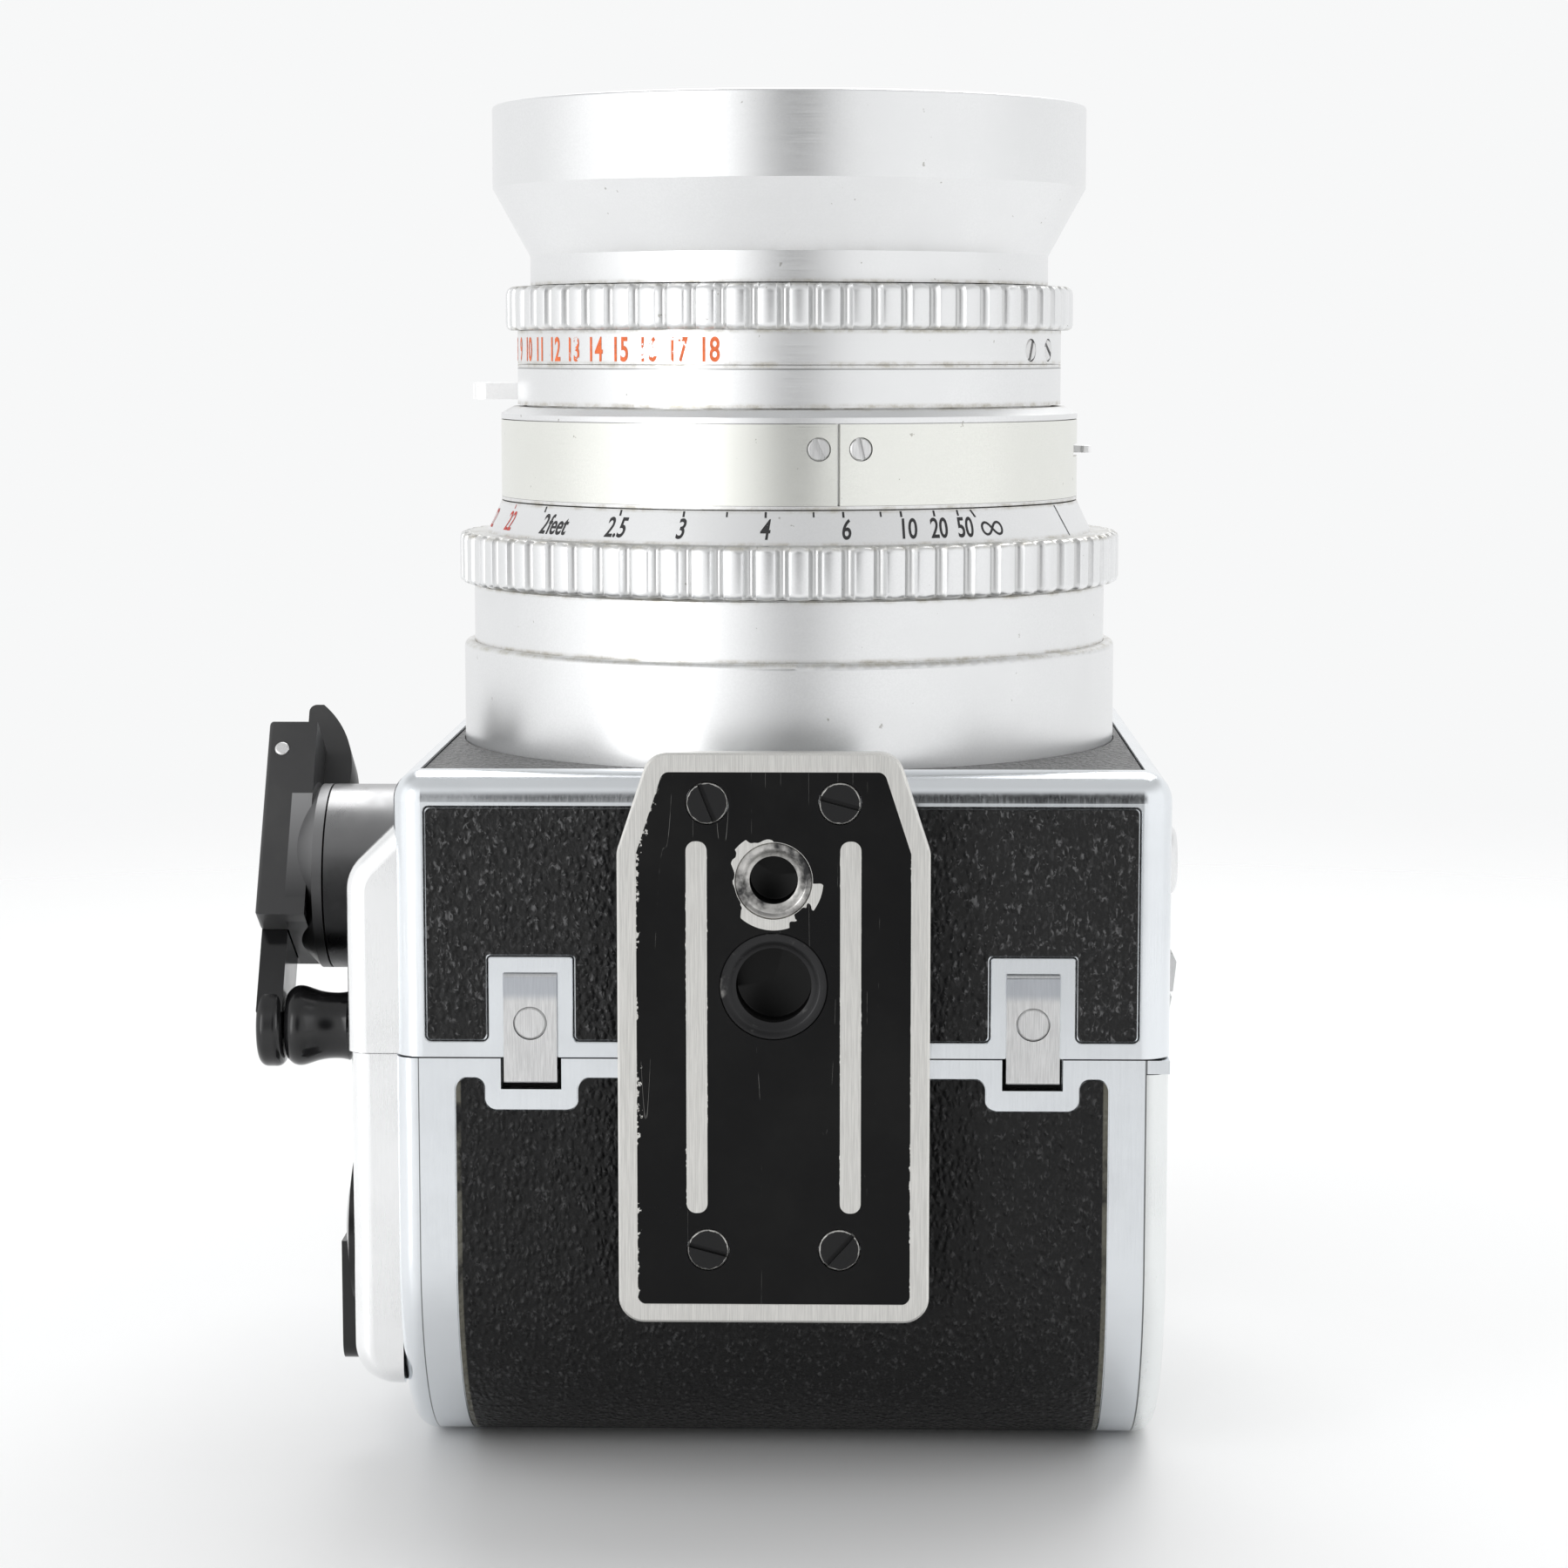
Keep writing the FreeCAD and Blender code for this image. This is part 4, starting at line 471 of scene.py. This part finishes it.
def ink(name, color, worn=0.0):
    """Paint filled into an engraving; worn gives the share that has rubbed away."""
    shader = Shader(name, color, roughness=0.55)
    grain = shader.noise(2600.0, 3.0, 0.6)
    shader.set("Base Color", shader.mix(shader.ramp(grain, 0.35, 0.7), color, darker(color, 0.75)))
    if worn:
        patch = shader.noise(420.0, 4.0, 0.75)
        shader.set("Alpha", shader.ramp(patch, worn, worn + 0.035))
    return shader


def coated_glass(name, color, roughness=0.02):
    """Lens glass; the coating's tint shows as a thin coloured film."""
    shader = Shader(
        name, color, roughness=roughness, Transmission_Weight=1.0, IOR=1.52, Coat_Weight=0.6
    )
    shader.set("Coat Tint", (0.72, 0.66, 0.95, 1.0))
    shader.set("Coat Roughness", 0.02)
    dust = shader.noise(2300.0, 2.0, 0.5)
    shader.set("Roughness", shader.ramp(dust, 0.72, 0.78, roughness, 0.25))
    return shader


# Painted light: satin metal made lighter than the other satin parts, so the interlock tab and sync
# lever look lit where they lie in shade.
brightened_tab_metal = satin_metal("tab_painted_bright", grey(0.98), 0.5, 0.0, turned=False)
# Painted light: a lighter copy of the polished aluminium, so the gear housings look more brightly
# lit than the rest.
brightened_housing_metal = polished_metal("polished_housing_painted_bright", (0.97, 0.975, 0.98), 0.2)
matte_black = painted("matte_black", grey(0.008), 0.7, 0.3)

SLOT_SHADERS = {
    "silver_satin": satin_metal("satin_aluminium"),
    "frame_polished": polished_metal("polished_aluminium"),
    "steel_brushed": brushed_metal("brushed_steel"),
    "leatherette": leather("leatherette"),
    "black_lacquer": painted("black_lacquer"),
    "dark_grey": painted("dark_grey_paint", DARK_GREY, 0.38, 0.2, 0.35),
    "black_plastic": painted("black_plastic", (0.006, 0.006, 0.0065), 0.12, shine=0.5),
    "optical_glass": coated_glass("optical_glass", (0.97, 0.98, 1.0)),
    "blade_steel": matte_black,
    "gear_brass": brushed_metal("brass", (0.70, 0.53, 0.26), 0.3, MATT),
    "spool_plastic": matte_black,
}
NODE_SHADERS = {
    "magazine_leather": leather("magazine_leatherette", rim=True, shine=0.25, crown_highlight=0.045),
    "tripod_plate": lacquered_plate("plate_lacquer"),
    "plate_screws": plate_screw_metal("plate_screw_steel"),
    "shutter_bands": satin_metal("satin_aluminium_band", (0.86, 0.865, 0.82), 0.3),
    "strap_lugs": satin_metal("satin_aluminium_small", turned=False),
    "insert_end_plate": polished_metal("polished_end_plate", (0.84, 0.86, 0.86), 0.2),
    "interlock_tab": brightened_tab_metal,
    "crank_collar": blackened("collar_painted_top_light"),
    "crank_arm": crank_paint("crank_paint"),
    "magazine_hooks": hook_metal("hook_steel"),
    "lens_hood": hood_metal("hood_metal"),
    "front_cell": matte_black,
    "magazine_shell": polished_metal("polished_magazine", seams=(39.0,)),
    # worn here gives the front leather painted sheen, a lighter colour for light glancing off it.
    "front_leather": leather("front_leatherette", shine=0.7, worn=0.10),
    "body_gear_housing": brightened_housing_metal,
    "magazine_gear_housing": brightened_housing_metal,
    "sync_lever": brightened_tab_metal,
}


def dress_nodes():
    """Gives each CAD node its own material, or else the one of its slot."""
    slot_of = {row["node"]: row["material_slot"] for row in frame["record"]["subparts"]}
    for node, item in frame["nodes"].items():
        shader = NODE_SHADERS.get(node) or SLOT_SHADERS[slot_of[node]]
        item.data.materials.clear()
        item.data.materials.append(shader.material)


# ---------------------------------------------------------------- mesh helpers


def add_piece(name, points, faces, shader, body, replaced=(), smooth=True):
    """Mesh piece from points in metres, riding on a body."""
    mesh = bpy.data.meshes.new(name)
    mesh.from_pydata(points, [], faces)
    mesh.validate()
    made = bmesh.new()
    made.from_mesh(mesh)
    bmesh.ops.recalc_face_normals(made, faces=made.faces)
    made.to_mesh(mesh)
    made.free()
    mesh.materials.append(shader.material)
    if smooth:
        mesh.shade_smooth()
        mesh.set_sharp_from_angle(angle=math.radians(32))
    piece = bpy.data.objects.new(name, mesh)
    bpy.context.scene.collection.objects.link(piece)
    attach(piece, body)
    if replaced:
        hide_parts(*replaced)


def lathe_faces(rows, count):
    """Quads of a grid of rows x count points that closes on itself both ways."""
    faces = []
    for row in range(rows):
        here, following = row * count, (row + 1) % rows * count
        for index in range(count):
            beside = (index + 1) % count
            faces.append((here + index, here + beside, following + beside, following + index))
    return faces


def lens_point(radius, angle, height):
    """Point about the lens axis; angle in radians from -Y towards +X, sizes in mm."""
    return (radius * math.sin(angle) * MM, -radius * math.cos(angle) * MM, height * MM)


# ---------------------------------------------------------------- grip rings


def make_grip(name, body, node, inner, radius, low, high, bevel, count, valley):
    """Knurled ring: convex lands with rounded ends between scalloped grooves.

    Sizes are in mm: inner and outer radius, lower and upper end, and the grooves' depth.
    bevel is how much rounder its upper shoulder is than its lower one, and share is the part
    of each pitch that is land."""
    around, share, crown, shoulder, rounded = 24, 0.56, 0.10, 0.75, 0.35
    shader = satin_metal(f"satin_{name}", flutes=radius)
    columns = count * around
    rows = [(inner, low), *grip_profile(radius, low, high, bevel), (inner, high)]
    points = []
    for row, (outside, height) in enumerate(rows):
        ends = max(0.0, 1.0 - min(height - low, high - height) / shoulder) ** 2
        for column in range(columns):
            place = abs((column % around) / around - 0.5) * 2
            if row in (0, len(rows) - 1):
                depth = 0.0
            elif place > share:
                across = (place - share) / (1 - share)
                depth = valley * math.sin(math.pi / 2 * across) ** 0.7
            else:
                depth = min((crown + rounded * ends) * (place / share) ** 2, valley)
            points.append(lens_point(outside - depth, 2 * math.pi * column / columns, height))
    add_piece(name, points, lathe_faces(len(rows), columns), shader, body, (node,))


def grip_profile(radius, low, high, bevel):
    """Outside of a grip ring from bottom to top, with rounded shoulders."""
    steps = ((0.0, 0.55), (0.12, 0.28), (0.3, 0.1), (0.55, 0.02), (0.8, 0.0))
    lower = [(radius - drop, low + rise) for rise, drop in steps]
    upper = [(radius - drop * bevel, high - rise * bevel) for rise, drop in reversed(steps)]
    return lower + upper


# ---------------------------------------------------------------- threaded sockets


def make_socket(node, height, bush, bore, pitch, depth, shader):
    """Blind bush with a cut thread, its face just below the plate's.

    Sizes are in mm: height of its axis, radius of the bush and of the bore, and the
    thread's pitch and depth."""
    columns, turns, face, back, chamfer = 72, 96, -48.48, -43.1, 0.12
    start, end = face + 0.75, back - 0.3
    rows = [(bush, back), (bush, face + chamfer), (bush - chamfer, face)]
    rows += [(bore + 0.95, face), (bore + 0.75, face + 0.1), (bore + 0.5, face + 0.45)]
    rows = [[row] * columns for row in rows]
    for step in range(turns + 1):
        place = start + (end - start) * step / turns
        fade = min(1.0, step / 4, (turns - step) / 4)
        turn = []
        for column in range(columns):
            phase = (place / pitch + column / columns) % 1.0
            crest = min(1.0, 1.35 * (1.0 - abs(2.0 * phase - 1.0)))
            turn.append((bore + depth * fade * crest, place))
        rows.append(turn)
    rows += [[(0.01, end)] * columns, [(0.01, back)] * columns]
    points = []
    for row in rows:
        for column, (radius, place) in enumerate(row):
            angle = 2 * math.pi * column / columns
            across, up = radius * math.cos(angle), height + radius * math.sin(angle)
            points.append((PLATE_X + across * MM, place * MM, up * MM))
    faces = lathe_faces(len(rows), columns)
    add_piece(f"{node}_thread", points, faces, shader, "camera_body", (node,))


# ---------------------------------------------------------------- scales


def glyph_mesh(text, size, shear, width, weight):
    """Flat outline of a text in the font that Blender carries, centred, in mm."""
    curve = bpy.data.curves.new("glyphs", "FONT")
    curve.body = text
    curve.size = size
    curve.shear = shear
    curve.align_x = "CENTER"
    curve.offset = weight
    curve.resolution_u = 6
    holder = bpy.data.objects.new("glyphs", curve)
    bpy.context.scene.collection.objects.link(holder)
    bpy.context.view_layer.update()
    graph = bpy.context.evaluated_depsgraph_get()
    mesh = bpy.data.meshes.new_from_object(holder.evaluated_get(graph))
    points = [(vertex.co.x * width, vertex.co.y) for vertex in mesh.vertices]
    faces = [tuple(face.vertices) for face in mesh.polygons]
    bpy.data.meshes.remove(mesh)
    bpy.data.objects.remove(holder)
    bpy.data.curves.remove(curve)
    return points, faces


def loop_mesh():
    """The sign for far away: a ribbon along a lying figure of eight, in mm."""
    count, half_width, half_stroke, rise = 48, 1.45, 0.13, 0.75
    points, faces = [], []

    def place(turn):
        scale = half_width / (1 + math.sin(turn) ** 2)
        return Vector((scale * math.cos(turn), scale * math.sin(turn) * math.cos(turn) * 1.25))

    for step in range(count):
        turn = 2 * math.pi * step / count
        side = (place(turn + 0.02) - place(turn)).orthogonal().normalized() * half_stroke
        middle = place(turn) + Vector((0, rise))
        points += [tuple(middle - side), tuple(middle + side)]
        here, after = 2 * step, (2 * step + 2) % (2 * count)
        faces.append((here, here + 1, after + 1, after))
    return points, faces


def bar_mesh(width, height, lean=0.0):
    """Stroke on a baseline, its top moved sideways by lean, in mm."""
    half = width / 2
    points = [(-half, 0), (half, 0), (half + lean, height), (lean - half, height)]
    return points, [(0, 1, 2, 3)]


class Scale:
    """Marks wrapped round a cone about the lens axis and joined into one piece."""

    lift = 0.02

    def __init__(self, low, low_radius, high, high_radius):
        self.low, self.low_radius = low, low_radius
        self.slope = (high_radius - low_radius) / (high - low)
        self.points, self.faces = [], []

    def mark(self, mesh, angle, height):
        points, faces = mesh
        start = len(self.points)
        for across, up in points:
            place = height + up
            radius = self.low_radius + self.slope * (place - self.low) + self.lift
            self.points.append(lens_point(radius, math.radians(angle) + across / radius, place))
        self.faces += [tuple(start + index for index in face) for face in faces]

    def finish(self, name, shader, body):
        add_piece(name, self.points, self.faces, shader, body, smooth=False)


def make_liners():
    """Dark pieces in the slots under the magazine's hooks: painted shade where the slots lie in
    shadow.
    """
    hook_x, half_width, depths, heights = 26.85, 3.2, (-41.2, -40.75), (43.75, 46.9)
    quads = ((0, 1, 3, 2), (4, 5, 7, 6), (0, 1, 5, 4), (2, 3, 7, 6), (0, 2, 6, 4), (1, 3, 7, 5))
    painted_shade = painted("slot_shadow", grey(0.004), 0.7, 0.0, 0.1)
    points, faces = [], []
    for side in (-1, 1):
        start = len(points)
        for across in (-half_width, half_width):
            for deep in depths:
                for up in heights:
                    points.append(((side * hook_x + across) * MM, deep * MM, up * MM))
        faces += [tuple(start + index for index in quad) for quad in quads]
    add_piece("hook_slot_shadows", points, faces, painted_shade, "magazine", smooth=False)


# Focusing scale: each distance's text, its angle and its tick's, in degrees from -Y towards
# +X; the cone they lie on, as height and radius twice, in mm; ticks without a text, and the
# red depth marks.
DISTANCES = (
    ("2", -51.2, -52.6),
    ("feet", -47.2, None),
    ("2.5", -32.3, -32.0),
    ("3", -18.9, -18.7),
    ("4", -3.3, -3.2),
    ("6", 11.3, 11.1),
    ("10", 22.9, 22.2),
    ("20", 29.2, 29.0),
    ("50", 34.9, 34.2),
)
DISTANCE_CONE = (101.6, 35.1, 105.2, 33.4)
BETWEEN_DISTANCES = (-10.4, 5.6, 18.2)
DEPTHS = (-65.6, -79.5)

# Aperture ring: the cylinder its light values lie on, the first and last of them, the first's
# angle and the step in degrees, and those whose paint is worn.
LIGHT_VALUE_CYLINDER = (120.0, 31.45, 125.0, 31.45)
LIGHT_VALUES = (18, 2)
LIGHT_VALUE_START = -14.8
LIGHT_VALUE_STEP = 6.7
WORN_LIGHT_VALUES = (13, 14, 16, 17)
ORANGE = (0.88, 0.17, 0.04)


def make_distance_scale():
    black_marks, red_marks = Scale(*DISTANCE_CONE), Scale(*DISTANCE_CONE)
    for text, angle, tick in DISTANCES:
        black_marks.mark(glyph_mesh(text, 3.0, 0.18, 0.74, 0.045), angle, 102.25)
        if tick is not None:
            black_marks.mark(bar_mesh(0.24, 0.62), tick, 104.5)
    for angle in BETWEEN_DISTANCES:
        black_marks.mark(bar_mesh(0.2, 0.55), angle, 104.55)
    black_marks.mark(loop_mesh(), 41.4, 102.3)
    black_marks.mark(bar_mesh(0.24, 0.8, -0.45), 38.1, 104.3)
    black_marks.mark(bar_mesh(0.2, 3.4, -0.9), 65.5, 101.7)
    for angle in DEPTHS:
        red_marks.mark(glyph_mesh("22", 3.0, 0.18, 0.74, 0.03), angle, 102.25)
    red_marks.mark(bar_mesh(0.16, 0.5), -66.0, 104.6)
    black_marks.finish("distance_numbers", ink("ink_black", (0.022, 0.022, 0.024)), "focus")
    red_marks.finish("depth_numbers", ink("ink_red", (0.62, 0.05, 0.035)), "focus")


def make_light_value_scale():
    whole, worn = Scale(*LIGHT_VALUE_CYLINDER), Scale(*LIGHT_VALUE_CYLINDER)
    first, last = LIGHT_VALUES
    for number in range(first, last - 1, -1):
        angle = LIGHT_VALUE_START - LIGHT_VALUE_STEP * (first - number)
        scale = worn if number in WORN_LIGHT_VALUES else whole
        scale.mark(glyph_mesh(str(number), 3.7, 0.0, 0.66, 0.07), angle, 121.25)
    whole.finish("light_value_numbers", ink("ink_orange", ORANGE), "aperture")
    worn.finish("light_value_numbers_worn", ink("ink_orange_worn", ORANGE, worn=0.44), "aperture")


# ---------------------------------------------------------------- floor, light and camera


def make_stage():
    """Round pale floor that fades out into the studio's white."""
    made = bmesh.new()
    bmesh.ops.create_circle(made, cap_ends=True, segments=96, radius=3.0)
    mesh = bpy.data.meshes.new("floor")
    made.to_mesh(mesh)
    made.free()
    floor = bpy.data.objects.new("floor", mesh)
    bpy.context.scene.collection.objects.link(floor)
    floor.location.z = -0.05 * MM
    shader = Shader("pale_floor", grey(0.90), roughness=0.42)
    away = shader.node("ShaderNodeVectorMath", {0: shader.place}, operation="LENGTH").outputs[1]
    cloud = shader.noise(14.0, 3.0, 0.5)
    shader.set("Base Color", shader.mix(cloud, grey(0.89), grey(0.91)))
    shader.set("Alpha", shader.ramp(away, 0.16, 0.6, 1.0, 0.0))
    mesh.materials.append(shader.material)


# The studio, by the direction looked in: centre and half size (X, Z) of the dark opening that
# the viewer stands in, and the brightness of its parts.
OPENING_CENTRE = (0.05, 0.22)
OPENING_SIZE = (0.25, 0.40)
OPENING_LEVEL = 0.03
LEFT_LEVEL, RIGHT_LEVEL = 1.16, 1.03
SKY_LEVEL = 0.94
OVERHEAD_LEVEL = 0.6
STUDIO_WHITE = (0.9925, 0.9975, 1.0, 1.0)


def make_world():
    """White studio with the dark opening that the viewer stands in."""
    world = bpy.data.worlds.new("studio")
    bpy.context.scene.world = world
    world.use_nodes = True
    nodes = Nodes(world.node_tree)
    back = next(n for n in nodes.tree.nodes if n.type == "BACKGROUND")
    place = nodes.node("ShaderNodeTexCoord").outputs["Generated"]
    x, y, z = nodes.node("ShaderNodeSeparateXYZ", {0: place}).outputs
    across = nodes.math("DIVIDE", nodes.less(x, OPENING_CENTRE[0]), OPENING_SIZE[0])
    up = nodes.math("DIVIDE", nodes.less(z, OPENING_CENTRE[1]), OPENING_SIZE[1])
    behind = nodes.times(nodes.math("GREATER_THAN", y, 0.0), 9.0)
    away = nodes.add(nodes.radius(across, up), behind)
    opening = nodes.ramp(away, 0.45, 1.35, OPENING_LEVEL, 1.0)
    sides = nodes.ramp(x, -0.75, 0.2, LEFT_LEVEL, RIGHT_LEVEL, "LINEAR")
    front = nodes.ramp(y, -0.1, 0.15, 1.0, 0.0, "LINEAR")
    side = nodes.blend(front, SKY_LEVEL, sides)
    overhead = nodes.ramp(z, 0.4, 0.85, 1.0, OVERHEAD_LEVEL)
    back.inputs["Color"].default_value = STUDIO_WHITE
    level = nodes.times(nodes.times(opening, side), overhead)
    nodes.tree.links.new(level, back.inputs["Strength"])


# Name, place, aim, width and height in metres, and watts.
SOFTBOXES = (
    ("left_softbox", (-0.75, -0.75, 0.22), (0, 0, 0.1), (0.35, 0.9), 2.6),
    ("top_softbox", (0.1, 0.55, 1.05), (0, 0, 0.05), (1.0, 0.8), 7.5),
)


def area_light(name, place, aim, size, power):
    light = bpy.data.lights.new(name, "AREA")
    light.shape = "RECTANGLE"
    light.size, light.size_y = size
    light.energy = power
    holder = bpy.data.objects.new(name, light)
    holder.location = place
    holder.rotation_euler = (Vector(aim) - Vector(place)).to_track_quat("-Z", "Y").to_euler()
    bpy.context.scene.collection.objects.link(holder)


def make_camera():
    """84 mm lens on a 36 mm square, a little above the body and right of its middle."""
    azimuth, pitch = math.radians(1.12), math.radians(6.79)
    away, height = 427.7 * MM, 122.6 * MM
    lens = bpy.data.cameras.new("camera")
    lens.sensor_width = 36.0
    lens.lens = 84.0
    lens.clip_start = 0.01
    lens.shift_x = -1 / 300
    holder = bpy.data.objects.new("camera", lens)
    holder.location = (math.sin(azimuth) * away, -math.cos(azimuth) * away, height)
    turn = Matrix.Rotation(azimuth, 3, "Z") @ Matrix.Rotation(math.pi / 2 - pitch, 3, "X")
    holder.rotation_euler = turn.to_euler()
    bpy.context.scene.collection.objects.link(holder)
    bpy.context.scene.camera = holder


make_stage()
make_world()
for softbox in SOFTBOXES:
    area_light(*softbox)
make_camera()
dress_nodes()
make_grip(
    "focus_grip",
    "focus",
    "focus_ring",
    inner=32.05,
    radius=38.3,
    low=95.85,
    high=101.6,
    bevel=1.0,
    count=68,
    valley=0.85,
)
make_grip(
    "aperture_grip",
    "aperture",
    "aperture_grip_ring",
    inner=29.0,
    radius=32.8,
    low=124.65,
    high=129.6,
    bevel=1.3,
    count=60,
    valley=0.8,
)
make_socket(
    "socket_small",
    SMALL_SOCKET_Z,
    bush=4.05,
    bore=2.55,
    pitch=1.27,
    depth=0.5,
    shader=thread_metal("small_thread", 0.35, 0.6),
)
make_socket(
    "socket_large",
    LARGE_SOCKET_Z,
    bush=5.7,
    bore=3.98,
    pitch=1.5875,
    depth=0.6,
    shader=thread_metal("large_thread", 0.58, 0.85),
)
make_liners()
make_distance_scale()
make_light_value_scale()
bpy.context.scene.view_settings.view_transform = "Standard"
